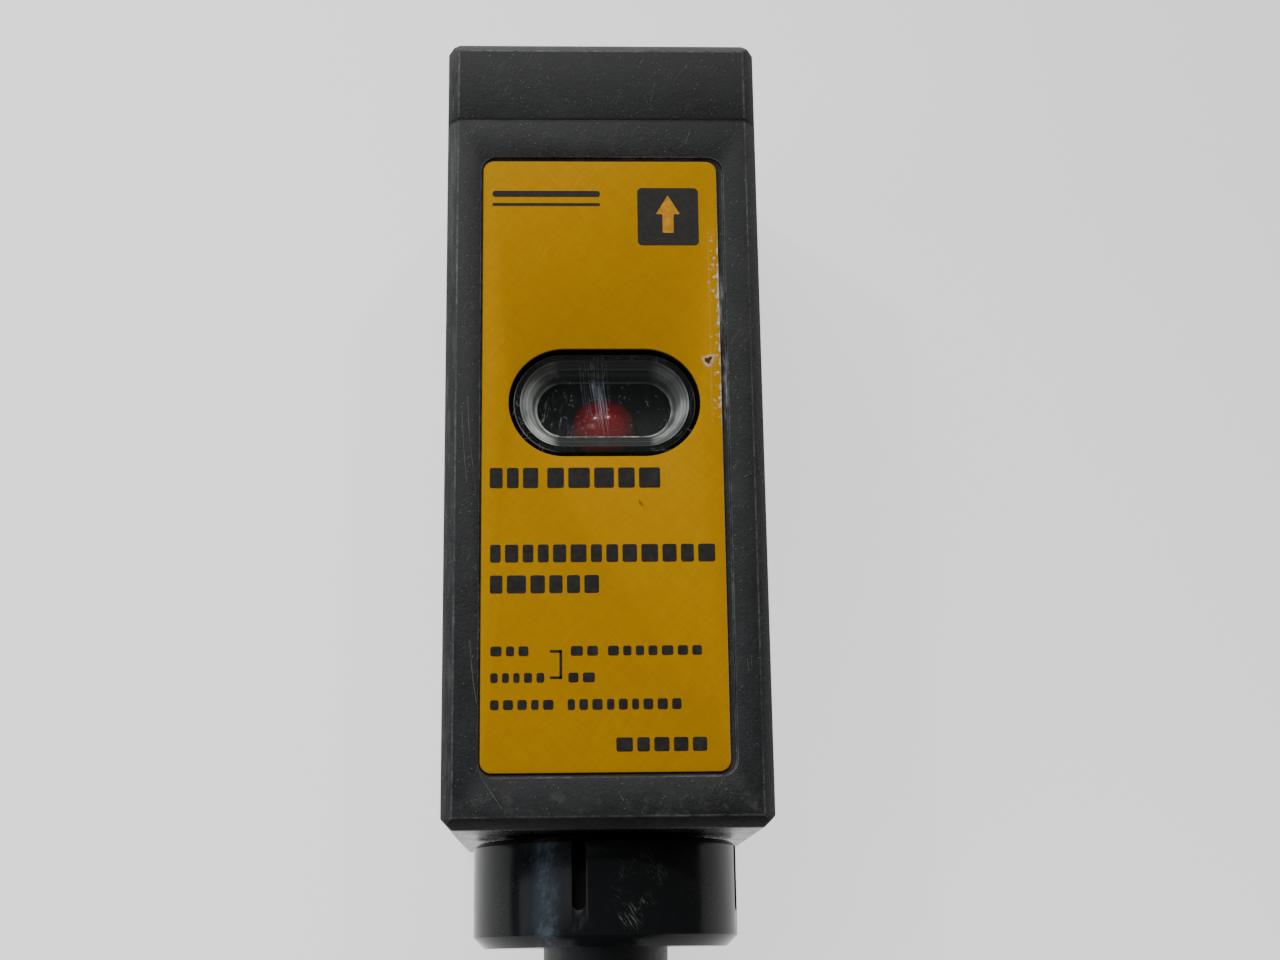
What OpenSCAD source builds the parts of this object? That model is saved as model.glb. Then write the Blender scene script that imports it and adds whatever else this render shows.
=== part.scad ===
// Cable-type photoelectric light source with a lens end, an indicator window and a screwed cable gland.
// X is the width, +Y points out of the lens end, +Z out of the label face. The back face lies on Z = 0.

/* [Body] */
// Width of the body
body_w = 20; // [19:0.5:25]
// Length of the body with its lens cap
body_l = 51; // [50:0.5:64]
// Depth of the body from its back to its label face
body_d = 24; // [22:0.5:30]
// Thickness of the moulded walls
wall = 1.6; // [1.2:0.1:2]
// Chamfer on the outer edges
edge = 0.7; // [0.3:0.1:1.2]

/* [Lens end] */
// Length of the lens cap
cap_l = 5.6; // [5:0.1:7]
// How far the cap's spigot goes into the case
spigot_l = 2; // [1.5:0.1:3]
// Wall of the cap's spigot
spigot_wall = 1.2; // [0.8:0.1:1.4]
// Thickness of the cap's end wall
cap_end = 1.7; // [1.4:0.1:2]
// Diameter of the lens that shows in the end wall
lens_d = 12; // [9:0.5:12.5]
// Radius of the lens's curved face
lens_curve = 12; // [9:0.5:20]
// Width of the lens's rim behind the end wall
lens_rim = 0.7; // [0.4:0.1:0.9]
// Thickness of the lens's rim
lens_rim_t = 1.2; // [0.8:0.1:1.6]
// Thickness of the gasket before the lens
lens_gasket_t = 0.4; // [0.3:0.1:0.6]
// Wall of the tube that holds the emitter
holder_wall = 1; // [0.8:0.1:1.4]
// Length of the tube that holds the emitter
holder_l = 9.2; // [8:0.1:11]
// Diameter of the infrared emitter
emitter_d = 5; // [3:0.5:6]

/* [Label and window] */
// Width of the label
label_w = 15; // [12:0.5:15]
// Distance from the lens end to the label
label_from_top = 8.5; // [7:0.5:12]
// Distance from the cable end to the label
label_from_bottom = 3.3; // [2:0.1:6]
// Thickness of the label
label_t = 0.2; // [0.1:0.05:0.3]
// Radius of the label's corners
label_r = 0.7; // [0.4:0.1:2]
// Length of the window
window_w = 12; // [9:0.5:12]
// Height of the window
window_h = 7; // [5:0.5:7.5]
// Distance from the lens end to the middle of the window
window_from_top = 24.7; // [22:0.1:27]
// Gap round the window's clear insert
window_gap = 0.3; // [0.1:0.05:0.4]
// Depth of the hollow in the insert's face
window_dip = 1.6; // [1:0.1:1.8]
// Diameter of the indicator lamp
lamp_d = 4; // [3:0.5:5]
// Height of the indicator lamp above its flange's underside
lamp_h = 5.2; // [4.6:0.1:6]

/* [Board] */
// Thickness of the circuit board
board_t = 1.6; // [1:0.1:1.6]
// Distance from the cable end of the body to the board
board_from_bottom = 5; // [4.5:0.5:7]

/* [Mounting] */
// Distance between the two mounting holes
hole_pitch = 25; // [24:0.5:26]
// Distance from the cable end of the body to the first hole
hole_from_bottom = 8.5; // [8:0.5:9]
// Height of the holes above the back face
hole_z = 5; // [4.6:0.1:5.4]
// Bore of the mounting sleeves
hole_d = 4.3; // [3.2:0.1:4.5]
// Wall of the mounting sleeves
sleeve_wall = 0.6; // [0.4:0.1:0.8]

/* [Gland] */
// Diameter of the threaded neck
neck_d = 14; // [13:0.5:17]
// Length of the threaded neck
neck_l = 3.8; // [3.5:0.1:6]
// Pitch of the neck's thread
thread_pitch = 1; // [0.75:0.25:1.5]
// Depth of the neck's thread
thread_depth = 0.5; // [0.3:0.1:0.6]
// Wall of the gland nut outside its thread
nut_wall = 1.4; // [1.3:0.1:2]
// Thickness of the nut's end wall
nut_end = 1.7; // [1.2:0.1:2.5]
// Width of the nut's four grip grooves
groove_w = 1.05; // [0.8:0.05:1.5]
// Diameter of the cable
cable_d = 5; // [4:0.5:6]
// Wall of the rubber boot round the cable
boot_wall = 1.5; // [1.2:0.1:1.6]
// Length of the straight part of the boot outside the nut
boot_straight = 4.75; // [4.5:0.05:8]
// Length of the tapered part of the boot
boot_taper = 15.5; // [12:0.1:24]

/* [Hidden] */
$fn = 64;

// Clearances
slip = 0.1; // between pieces that slide together once
seat = 0.05; // between pieces that are pressed together
thread_fit = 0.1; // between the neck's thread and the nut, on the radius
turn_gap = 0.3; // between the boot and what turns or slides on it, on the radius
past = 1; // how far a cutter runs past what it cuts

// Planes of the body
half_w = body_w / 2;
top_y = body_l / 2;
bottom_y = -body_l / 2;
mid_z = body_d / 2;
seam_y = top_y - cap_l;
end_wall = 2;
inner_w = body_w - 2 * wall;
inner_top = body_d - wall;

// Lens end, from the end wall inwards
spigot_w = inner_w - 2 * slip;
spigot_d = body_d - 2 * wall - 2 * slip;
rim_d = lens_d + 2 * lens_rim;
gasket_y = top_y - cap_end;
lens_y = gasket_y - lens_gasket_t;
holder_y = lens_y - lens_rim_t;
emitter_y = holder_y - holder_l;
emitter_flange = 1;
emitter_straight = 4;
lead_pitch = 2.54;
pin_w = 0.5;
seal_w = 0.7;
seal_t = 0.6;

// Label, recess and window
label_shift = -0.15;
recess_margin = 0.25;
recess_t = 0.25;
label_l = body_l - label_from_top - label_from_bottom;
label_y = (top_y - label_from_top + bottom_y + label_from_bottom) / 2;
window_y = top_y - window_from_top;
window_lip = 0.9; // how far the window's flange and gasket reach under the wall
gasket_t = 0.3;
flange_t = 1;
window_floor = inner_top - gasket_t - flange_t;
window_face = body_d - 0.3; // the insert's rim, below the label

// Board, with its parts on the front and the back
board_w = inner_w - 4 * slip;
board_low = bottom_y + board_from_bottom;
board_high = emitter_y - 1.5;
board_front = mid_z + board_t / 2;
board_back = mid_z - board_t / 2;
board_hole = 0.9;
rail_w = 0.8;
rail_t = 1;
lamp_gap = 1.2;
lamp_z = window_floor - lamp_gap - lamp_h;
lamp_flange = 0.7;
pin_d = 0.5;
pin_past = 0.8;
capacitor = [-3.6, bottom_y + hole_from_bottom + 10.2]; // between the two bosses
capacitor_d = 5;
capacitor_h = 6;
chip = [0.5, window_y - 8.6];
transistor = [-4.6, window_y - 13.2];

// Sleeves and the bosses round them
sleeve_d = hole_d + 2 * sleeve_wall;
boss_d = sleeve_d + 2 * seat + 1.6;
hole_low = bottom_y + hole_from_bottom;

// Gland, from the body outwards along -Y
boot_d = cable_d + 2 * boot_wall;
neck_bore = boot_d + 2.4;
bushing_flange = 0.8;
washer_t = 0.4;
nut_gap = 0.2;
nut_d = neck_d + 2 * thread_fit + 2 * nut_wall;
nut_l = neck_l + bushing_flange + washer_t + seat + nut_end - nut_gap;
nut_hole = boot_d + 2 * turn_gap;
flange_y = bottom_y - neck_l;
washer_y = flange_y - bushing_flange;
nut_y = bottom_y - nut_gap;
groove_l = 4.4;
groove_depth = 0.9;
groove_turn = -12; // how far the first groove is turned from the label side
bushing_in = 5; // how far the bushing goes into the neck
boot_y = nut_y - nut_l - boot_straight;
boot_end = boot_y - boot_taper;
boot_end_d = cable_d + 1.2;
relief_n = 6;
relief_w = 1;
relief_depth = 0.6;
core_in = 1; // how far the cable's jacket stands into the cavity
wire_d = 1.1;
wire_pitch = 1.2;
wire_l = 4.5;
strand_l = 1.4;

// Free cable: straight out of the boot, down to the surface, then into the side of the hank
route = [
  [0, -52.5, 12], [0, -57, 12], [0, -62, 11.6], [0, -67, 10.4], [-0.2, -72, 8.6], [-0.8, -77, 6.6],
  [-2, -82, 4.8], [-4, -87, 3.5], [-7, -92, 2.8], [-10.6, -97, 2.5], [-14.4, -102, 2.5],
  [-17.4, -107, 2.5], [-19.2, -112, 2.5],
];
hank_near = -114; // middle of the folds at the near end
hank_far = -162; // middle of the folds at the far end
hank_mid = (hank_near + hank_far) / 2;
fold_r = 20; // radius of the outer folds, at the cable's middle
layers = 5;
hank_w = 2 * fold_r + cable_d;
hank_h = layers * cable_d;
tie_w = 9;
tie_t = 0.8;
slot_x = fold_r - cable_d; // the empty track on top of the hank, where the cable ends
slot_y = -150;
lead_d = 1.3;
tinned_d = 0.9;
lead_z = hank_h - cable_d + lead_d / 2 + 0.05;
lead_paths = [
  [[13.9, -150, 22.2], [13.9, -148, 22.2], [13.6, -141, 20.9], [13.3, -134, lead_z], [13.3, -123, lead_z]],
  [[15, -150, 23.6], [15, -148, 23.6], [15, -141, 21.6], [14.9, -133, lead_z], [14.8, -120, lead_z]],
  [[16.1, -150, 22.2], [16.1, -148, 22.2], [16.4, -141, 20.9], [16.6, -134, lead_z], [16.5, -124, lead_z]],
];
tinned_l = 5;

// Colours
moulded = [0.16, 0.16, 0.16];
rubber = [0.09, 0.09, 0.09];
amber = [0.93, 0.63, 0.05];
metal = [0.75, 0.75, 0.72];
clear = [0.85, 0.9, 0.92, 0.5];

// ---- helpers

// Rectangle with its corners cut off at 45 degrees
module cut_corners(w, h, c) {
  x = w / 2;
  y = h / 2;
  polygon([[x - c, -y], [x, c - y], [x, y - c], [x - c, y], [c - x, y], [-x, y - c], [-x, c - y], [c - x, -y]]);
}

// Rectangle with round corners
module round_rect(w, h, r) {
  square([w - 2 * r, h], center = true);
  square([w, h - 2 * r], center = true);
  for (x = [r - w / 2, w / 2 - r])
    for (y = [r - h / 2, h / 2 - r])
      translate([x, y])
        circle(r);
}

// Slot with round ends
module stadium(w, h) {
  square([w - h, h], center = true);
  for (x = [(h - w) / 2, (w - h) / 2])
    translate([x, 0])
      circle(h / 2);
}

// Whole body with every edge chamfered, cut off between two places along its length
module outer_body(y0, y1) {
  intersection() {
    linear_extrude(body_d)
      cut_corners(body_w, body_l, edge);
    translate([0, top_y, mid_z])
      rotate([90, 0, 0])
        linear_extrude(body_l)
          cut_corners(body_w, body_d, edge);
    translate([-half_w, 0, mid_z])
      rotate([90, 0, 90])
        linear_extrude(body_w)
          cut_corners(body_l, body_d, edge);
    translate([-body_w, y0, -past])
      cube([2 * body_w, y1 - y0, body_d + 2 * past]);
  }
}

// Local +Z along the gland's axis, out of the cable end
module on_gland(y) {
  translate([0, y, mid_z])
    rotate([90, 0, 0])
      children();
}

// Local +Z along the lens's axis, out of the lens end
module on_lens(y) {
  translate([0, y, mid_z])
    rotate([-90, 0, 0])
      children();
}

// Tube with its bore and its base at the origin
module tube(d, bore, l) {
  difference() {
    cylinder(d = d, h = l);
    translate([0, 0, -past])
      cylinder(d = bore, h = l + 2 * past);
  }
}

// Chip part lying flat, centred on its place
module chip_part(l, w, h) {
  translate([-l / 2, -w / 2, 0])
    cube([l, w, h]);
}

// Unit vector
function unit(v) = v / norm(v);

// Direction of a path at one of its points
function along(p, i) = unit(p[min(i + 1, len(p) - 1)] - p[max(i - 1, 0)]);

// Ring of points round one point of a path
function ring(p, i, d, n) =
  let (t = along(p, i), side = unit(cross(t, [0, 0, 1])), up = cross(side, t))
    [for (k = [0:n - 1]) p[i] + d / 2 * (cos(360 * k / n) * side + sin(360 * k / n) * up)];

// Tube swept along a path, with n sides
module swept(path, d, n) {
  last = len(path) - 1;
  points = [for (i = [0:last]) each ring(path, i, d, n)];
  ends = [[for (k = [0:n - 1]) k], [for (k = [n - 1:-1:0]) last * n + k]];
  sides = [for (i = [0:last - 1]) for (k = [0:n - 1])
    [i * n + k, (i + 1) * n + k, (i + 1) * n + (k + 1) % n, i * n + (k + 1) % n]];
  polyhedron(points, concat(ends, sides));
}

// ---- body

module cavity() {
  translate([-inner_w / 2, bottom_y + end_wall, wall])
    cube([inner_w, seam_y - bottom_y - end_wall + past, body_d - 2 * wall]);
}

module neck() {
  crest = neck_d / 2;
  root = crest - thread_depth;
  turns = floor(neck_l / thread_pitch);
  on_gland(bottom_y)
    rotate_extrude()
      polygon([
        [0, -wall], [root, -wall],
        for (i = [0:turns - 1]) each [
          [root, (i + 0.1) * thread_pitch], [crest, (i + 0.4) * thread_pitch],
          [crest, (i + 0.6) * thread_pitch], [root, (i + 0.9) * thread_pitch],
        ],
        [root, neck_l], [0, neck_l],
      ]);
}

module board_rails() {
  for (side = [-1, 1])
    for (z = [board_front + slip, board_back - slip - rail_t])
      translate([side * (inner_w / 2 - rail_w / 2) - rail_w / 2, bottom_y + end_wall, z])
        cube([rail_w, board_high - bottom_y - end_wall, rail_t]);
}

// Along X through both mounting holes
module at_holes() {
  for (y = [hole_low, hole_low + hole_pitch])
    translate([0, y, hole_z])
      rotate([0, 90, 0])
        children();
}

module case() {
  color(moulded)
    difference() {
      union() {
        difference() {
          outer_body(bottom_y, seam_y);
          cavity();
        }
        neck();
        board_rails();
        at_holes()
          cylinder(d = boss_d, h = inner_w, center = true);
      }
      on_gland(bottom_y + end_wall + past)
        cylinder(d = neck_bore, h = end_wall + neck_l + 2 * past);
      at_holes()
        cylinder(d = sleeve_d + 2 * seat, h = body_w + 2 * past, center = true);
      translate([0, label_y, body_d - recess_t])
        linear_extrude(past)
          round_rect(label_w + 2 * recess_margin, label_l + 2 * recess_margin, label_r + recess_margin);
      translate([0, window_y, inner_top - past])
        linear_extrude(wall + 2 * past)
          stadium(window_w, window_h);
    }
}

module lens_cap() {
  color(moulded)
    difference() {
      union() {
        outer_body(seam_y, top_y);
        translate([-spigot_w / 2, seam_y - spigot_l, mid_z - spigot_d / 2])
          cube([spigot_w, spigot_l + past, spigot_d]);
      }
      translate([spigot_wall - spigot_w / 2, seam_y - spigot_l - past, mid_z - spigot_d / 2 + spigot_wall])
        cube([spigot_w - 2 * spigot_wall, cap_l - cap_end + spigot_l + past, spigot_d - 2 * spigot_wall]);
      translate([0, seam_y - past, 0])
        seal_ring(seal_t + past);
      on_lens(gasket_y - past)
        cylinder(d = lens_d, h = cap_end + 2 * past);
    }
}

// Frame round the spigot, l long
module seal_ring(l) {
  translate([0, 0, mid_z])
    rotate([-90, 0, 0])
      linear_extrude(l)
        difference() {
          square([spigot_w + 2 * seal_w, spigot_d + 2 * seal_w], center = true);
          square([spigot_w, spigot_d], center = true);
        }
}

module cap_seal() {
  color(rubber)
    intersection() {
      translate([0, seam_y, 0])
        seal_ring(seal_t);
      outer_body(bottom_y, top_y);
    }
}

// ---- lens end

module lens() {
  color([0.25, 0.06, 0.1])
    on_lens(lens_y - lens_rim_t) {
      cylinder(d = rim_d, h = lens_rim_t);
      intersection() {
        translate([0, 0, lens_rim_t + lens_gasket_t + cap_end - slip - lens_curve])
          sphere(lens_curve);
        cylinder(d = lens_d - 2 * slip, h = lens_curve);
      }
    }
}

module lens_gasket() {
  color(rubber)
    on_lens(lens_y)
      tube(rim_d, lens_d + 2 * slip, lens_gasket_t);
}

module emitter_holder() {
  bore = rim_d - 2 * holder_wall;
  back = 2;
  color(rubber)
    on_lens(emitter_y)
      rotate_extrude()
        polygon([
          [emitter_d / 2 + seat, 0], [rim_d / 2 - 2, 0], [rim_d / 2, 2], [rim_d / 2, holder_l],
          [bore / 2, holder_l], [bore / 2, back + 3], [emitter_d / 2 + 1, back], [emitter_d / 2 + seat, back],
        ]);
}

module infrared_emitter() {
  color([0.2, 0.22, 0.4])
    on_lens(emitter_y - emitter_flange) {
      cylinder(d = emitter_d + 0.8, h = emitter_flange);
      cylinder(d = emitter_d, h = emitter_flange + emitter_straight);
      translate([0, 0, emitter_flange + emitter_straight])
        sphere(d = emitter_d);
      for (side = [-1, 1])
        translate([-pin_w / 2, side * lead_pitch / 2 - pin_w / 2, -2.2])
          cube([pin_w, pin_w, 2.2]);
    }
}

// ---- board and its parts

lamp_pins = [for (side = [-1, 1]) [side * lead_pitch / 2, window_y]];
capacitor_pins = [for (side = [-1, 1]) capacitor + [0, side]];

module main_board() {
  color([0.05, 0.2, 0.12])
    difference() {
      translate([-board_w / 2, board_low, board_back])
        cube([board_w, board_high - board_low, board_t]);
      for (p = concat(lamp_pins, capacitor_pins))
        translate([p[0], p[1], board_back - past])
          cylinder(d = board_hole, h = board_t + 2 * past);
    }
}

// One gull-wing lead, standing on its foot and reaching in to the chip's side
module gull_lead(reach, h, w) {
  t = 0.2;
  translate([0, -w / 2, 0]) {
    translate([reach - 0.5, 0, 0])
      cube([0.5, w, t]);
    translate([reach - 0.5 - t, 0, 0])
      cube([t, w, h]);
    translate([0, 0, h - t])
      cube([reach - 0.5, w, t]);
  }
}

module driver_chip() {
  body = [3.9, 4.9, 1.5];
  lead_h = 0.9;
  reach = 1.05;
  color([0.12, 0.12, 0.13])
    translate([chip[0], chip[1], board_front]) {
      translate([-body[0] / 2, -body[1] / 2, 0.1])
        cube(body);
      for (i = [-1.5:1.5])
        for (side = [0, 180])
          rotate([0, 0, side])
            translate([body[0] / 2, i * 1.27, 0])
              gull_lead(reach, lead_h, 0.4);
    }
}

module output_transistor() {
  body = [1.6, 3, 1];
  color([0.12, 0.12, 0.13])
    translate([transistor[0], transistor[1], board_front]) {
      translate([-body[0] / 2, -body[1] / 2, 0.1])
        cube(body);
      for (i = [-1, 1])
        translate([body[0] / 2, i * 0.95, 0])
          gull_lead(0.8, 0.6, 0.4);
      rotate([0, 0, 180])
        translate([body[0] / 2, 0, 0])
          gull_lead(0.8, 0.6, 0.4);
    }
}

module smoothing_capacitor() {
  r = capacitor_d / 2;
  color([0.3, 0.32, 0.35])
    translate([capacitor[0], capacitor[1], board_back - slip]) {
      rotate([180, 0, 0])
        rotate_extrude()
          polygon([
            [0, 0], [r, 0], [r, 0.8], [r - 0.3, 1], [r - 0.3, 1.2], [r, 1.4],
            [r, capacitor_h - 0.3], [r - 0.3, capacitor_h], [0, capacitor_h],
          ]);
      for (side = [-1, 1])
        translate([0, side, 0])
          cylinder(d = pin_d, h = board_t + slip + pin_past);
    }
}

module ceramic_capacitors() {
  color([0.62, 0.5, 0.35])
    for (p = [[4.4, window_y - 4.4, 0], [5.6, chip[1] - 1, 90], [-3.4, window_y + 6.6, 90]])
      translate([p[0], p[1], board_front])
        rotate([0, 0, p[2]])
          chip_part(2, 1.25, 1.1);
}

module resistors() {
  color([0.1, 0.1, 0.1])
    for (p = [
      [-4.6, window_y + 0.4, 90], [-4.6, capacitor[1] + 3.4, 0], [5.6, window_y + 0.6, 90],
      [0.4, window_y + 6.6, 0], [3.6, window_y + 6.6, 90], [-1.2, chip[1] - 4.4, 0],
    ])
      translate([p[0], p[1], board_front])
        rotate([0, 0, p[2]])
          chip_part(2, 1.25, 0.6);
}

module protection_diodes() {
  body = [4.2, 2.6, 2.1];
  color([0.14, 0.14, 0.14])
    for (y = [chip[1] + 5.2, chip[1] + 1.6])
      translate([4.4, y, board_back]) {
        translate([-body[0] / 2, -body[1] / 2, -body[2] - 0.1])
          cube(body);
        for (side = [-1, 1])
          translate([side * (body[0] / 2 + 0.2) - 0.2, -0.7, -1.2])
            cube([0.4, 1.4, 1.2]);
      }
}

// Cone of solder round a pin, flat on the board
module solder_cone() {
  rotate_extrude()
    polygon([[pin_d / 2, 0], [0.8, 0], [0.4, 0.5], [pin_d / 2, 0.6]]);
}

module solder_joints() {
  bead_y = board_low + wire_l - (board_from_bottom - end_wall - core_in) + strand_l;
  color(metal) {
    for (p = lamp_pins)
      translate([p[0], p[1], board_back])
        rotate([180, 0, 0])
          solder_cone();
    for (p = capacitor_pins)
      translate([p[0], p[1], board_front])
        solder_cone();
    for (x = [-wire_pitch, 0, wire_pitch])
      translate([x - 0.45, bead_y, board_front])
        cube([0.9, 0.8, 0.5]);
    for (side = [0, 1])
      mirror([0, 0, side])
        translate([-0.6, board_high - 1.2, side == 0 ? board_front : -board_back])
          cube([1.2, 1.2, lead_pitch / 2 - pin_w / 2 - board_t / 2]);
  }
}

// ---- indicator and window

module indicator_lamp() {
  color([0.75, 0.08, 0.05])
    translate([0, window_y, lamp_z]) {
      cylinder(d = lamp_d + 0.6, h = lamp_flange);
      cylinder(d = lamp_d, h = lamp_h - lamp_d / 2);
      translate([0, 0, lamp_h - lamp_d / 2])
        sphere(d = lamp_d);
      for (side = [-1, 1])
        translate([side * lead_pitch / 2, 0, board_back - pin_past - lamp_z])
          cylinder(d = pin_d, h = lamp_z - board_back + pin_past);
    }
}

module lamp_spacer() {
  color(rubber)
    translate([0, window_y, board_front])
      difference() {
        cylinder(d = lamp_d + 0.4, h = lamp_z - board_front);
        for (side = [-1, 1])
          translate([side * lead_pitch / 2, 0, -past])
            cylinder(d = pin_d + 2 * slip, h = lamp_z - board_front + 2 * past);
      }
}

module window() {
  plug_w = window_w - 2 * window_gap;
  plug_h = window_h - 2 * window_gap;
  rim = 0.25;
  slope = 0.9;
  color(clear)
    translate([0, window_y, 0])
      difference() {
        union() {
          translate([0, 0, window_floor])
            linear_extrude(flange_t)
              stadium(window_w + 2 * window_lip, window_h + 2 * window_lip);
          translate([0, 0, window_floor])
            linear_extrude(window_face - window_floor)
              stadium(plug_w, plug_h);
        }
        hull($fn = 32) {
          translate([0, 0, window_face - window_dip])
            linear_extrude(0.01)
              stadium(plug_w - 2 * rim - 2 * slope, plug_h - 2 * rim - 2 * slope);
          translate([0, 0, window_face])
            linear_extrude(past)
              stadium(plug_w - 2 * rim, plug_h - 2 * rim);
        }
      }
}

module window_gasket() {
  color(rubber)
    translate([0, window_y, window_floor + flange_t])
      linear_extrude(gasket_t)
        difference() {
          stadium(window_w + 2 * window_lip, window_h + 2 * window_lip);
          stadium(window_w, window_h);
        }
}

module nameplate() {
  color(amber)
    translate([0, 0, body_d - recess_t])
      linear_extrude(label_t)
        difference() {
          translate([label_shift, label_y])
            round_rect(label_w, label_l, label_r);
          translate([0, window_y])
            stadium(window_w, window_h);
        }
}

module mounting_sleeves() {
  color(metal)
    at_holes()
      difference() {
        cylinder(d = sleeve_d, h = body_w, center = true);
        cylinder(d = hole_d, h = body_w + 2 * past, center = true);
      }
}

// ---- gland

module gland_nut() {
  bore = neck_d / 2 + thread_fit;
  outer = nut_d / 2;
  step = nut_l - nut_end;
  color([0.1, 0.1, 0.1])
    on_gland(nut_y)
      difference() {
        rotate_extrude()
          polygon([
            [bore, 0], [outer - 0.3, 0], [outer, 0.3], [outer, nut_l - 0.7], [outer - 0.7, nut_l],
            [nut_hole / 2, nut_l], [nut_hole / 2, step], [bore, step],
          ]);
        for (turn = [0:90:270])
          rotate([0, 0, turn - groove_turn])
            translate([0, outer - groove_depth, 0]) {
              translate([-groove_w / 2, 0, -past])
                cube([groove_w, groove_depth + past, groove_l - groove_w / 2 + past]);
              translate([0, 0, groove_l - groove_w / 2])
                rotate([-90, 0, 0])
                  cylinder(d = groove_w, h = groove_depth + past);
            }
      }
}

module gland_washer() {
  color(metal)
    on_gland(washer_y)
      tube(neck_d - 0.8, nut_hole, washer_t);
}

// Radius of the boot at z along its taper
function boot_r(z) = boot_d / 2 + (boot_end_d - boot_d) / 2 * z / boot_taper;

module cable_bushing() {
  flange_r = neck_d / 2 - thread_depth - 0.2;
  start = washer_y - boot_y; // where the taper starts, from the flange's outer face
  pitch = (boot_taper - 2) / relief_n;
  color(rubber)
    on_gland(washer_y)
      rotate_extrude()
        polygon([
          [cable_d / 2, -bushing_flange - bushing_in], [neck_bore / 2 - 1, -bushing_flange - bushing_in],
          [neck_bore / 2 - slip, 1 - bushing_flange - bushing_in], [neck_bore / 2 - slip, -bushing_flange],
          [flange_r, -bushing_flange], [flange_r, 0], [boot_d / 2, 0],
          for (i = [0:relief_n - 1]) each let (a = 1 + i * pitch, b = a + relief_w) [
            [boot_r(a), start + a], [boot_r(a) - relief_depth, start + a + 0.1],
            [boot_r(b) - relief_depth, start + b - 0.1], [boot_r(b), start + b],
          ],
          [boot_end_d / 2, start + boot_taper], [cable_d / 2, start + boot_taper],
        ]);
}

module cable_core() {
  core_y = bottom_y + end_wall + core_in;
  color(rubber)
    on_gland(core_y)
      cylinder(d = cable_d, h = core_y - boot_end);
}

// One insulated wire over the board, with its bare end
module inner_wire(x) {
  z = board_front + slip + wire_d / 2;
  wire_y = bottom_y + end_wall + core_in;
  translate([x, wire_y, z])
    rotate([-90, 0, 0]) {
      cylinder(d = wire_d, h = wire_l);
      translate([0, 0, wire_l])
        cylinder(d = 0.6, h = strand_l);
    }
}

module wire_red() {
  color([0.7, 0.08, 0.06])
    inner_wire(-wire_pitch);
}

module wire_black() {
  color([0.06, 0.06, 0.06])
    inner_wire(0);
}

module wire_white() {
  color([0.9, 0.9, 0.88])
    inner_wire(wire_pitch);
}

// ---- free cable

module cable() {
  color(rubber)
    swept(route, cable_d, 12);
}

module cable_hank() {
  track = cable_d + 0.2;
  color(rubber)
    difference() {
      translate([0, hank_mid, 0])
        rotate([0, 0, 90])
          linear_extrude(hank_h)
            stadium(hank_near - hank_far + hank_w, hank_w);
      translate([-hank_w, hank_mid - tie_w / 2 - slip, -past])
        cube([2 * hank_w, tie_w + 2 * slip, past + tie_t + slip]);
      translate([slot_x - track / 2, slot_y, hank_h - cable_d])
        cube([track, hank_near - slot_y, cable_d + past]);
    }
}

module hank_tie() {
  w = hank_w + 2 * slip;
  h = hank_h + slip - tie_t;
  color([0.12, 0.12, 0.13])
    translate([0, hank_mid + tie_w / 2, tie_t])
      rotate([90, 0, 0])
        linear_extrude(tie_w)
          union() {
            difference() {
              translate([-w / 2 - tie_t, -tie_t])
                square([w + 2 * tie_t, h + 2 * tie_t]);
              translate([-w / 2, 0])
                square([w, h]);
            }
            translate([-w / 2 + 4, h + tie_t])
              square([18, tie_t]);
          }
}

// One stripped lead on top of the hank, with its tinned end
module lead(path) {
  last = path[len(path) - 1];
  swept(path, lead_d, 8);
  swept([last, last + [0, tinned_l, 0]], tinned_d, 8);
}

module lead_red() {
  color([0.7, 0.08, 0.06])
    lead(lead_paths[0]);
}

module lead_black() {
  color([0.06, 0.06, 0.06])
    lead(lead_paths[1]);
}

module lead_white() {
  color([0.9, 0.9, 0.88])
    lead(lead_paths[2]);
}

case();
lens_cap();
cap_seal();
lens();
lens_gasket();
emitter_holder();
infrared_emitter();
main_board();
driver_chip();
output_transistor();
smoothing_capacitor();
ceramic_capacitors();
resistors();
protection_diodes();
solder_joints();
indicator_lamp();
lamp_spacer();
window();
window_gasket();
nameplate();
mounting_sleeves();
gland_nut();
gland_washer();
cable_bushing();
cable_core();
wire_red();
wire_black();
wire_white();
cable();
cable_hank();
hank_tie();
lead_red();
lead_black();
lead_white();
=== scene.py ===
import math
import random

import bmesh
import bpy
from mathutils import Matrix, Vector


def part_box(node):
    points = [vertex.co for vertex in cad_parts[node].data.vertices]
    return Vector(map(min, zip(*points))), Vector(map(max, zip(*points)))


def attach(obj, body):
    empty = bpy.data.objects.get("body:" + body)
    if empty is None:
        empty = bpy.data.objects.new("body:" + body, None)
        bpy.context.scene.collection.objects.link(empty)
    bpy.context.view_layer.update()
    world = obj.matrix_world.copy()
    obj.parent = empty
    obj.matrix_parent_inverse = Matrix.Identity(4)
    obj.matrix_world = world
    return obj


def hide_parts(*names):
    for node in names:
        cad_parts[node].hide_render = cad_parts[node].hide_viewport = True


# Cable-type photoelectric light source: a grained black body with an amber label, a sunk indicator
# window, a screwed cable gland and a tied hank of cable. Shapes are built in millimetres on the
# frame's own axes, and newPiece brings them to metres.
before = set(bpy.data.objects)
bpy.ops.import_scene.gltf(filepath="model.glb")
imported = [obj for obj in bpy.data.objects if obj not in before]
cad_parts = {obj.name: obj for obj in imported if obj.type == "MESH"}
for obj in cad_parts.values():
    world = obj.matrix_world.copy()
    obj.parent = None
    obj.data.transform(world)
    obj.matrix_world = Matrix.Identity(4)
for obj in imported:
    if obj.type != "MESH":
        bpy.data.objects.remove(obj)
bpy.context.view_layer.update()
mm = 0.001
random.seed(7)


def boxOf(node):
    low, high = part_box(node)
    return low / mm, high / mm


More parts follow.
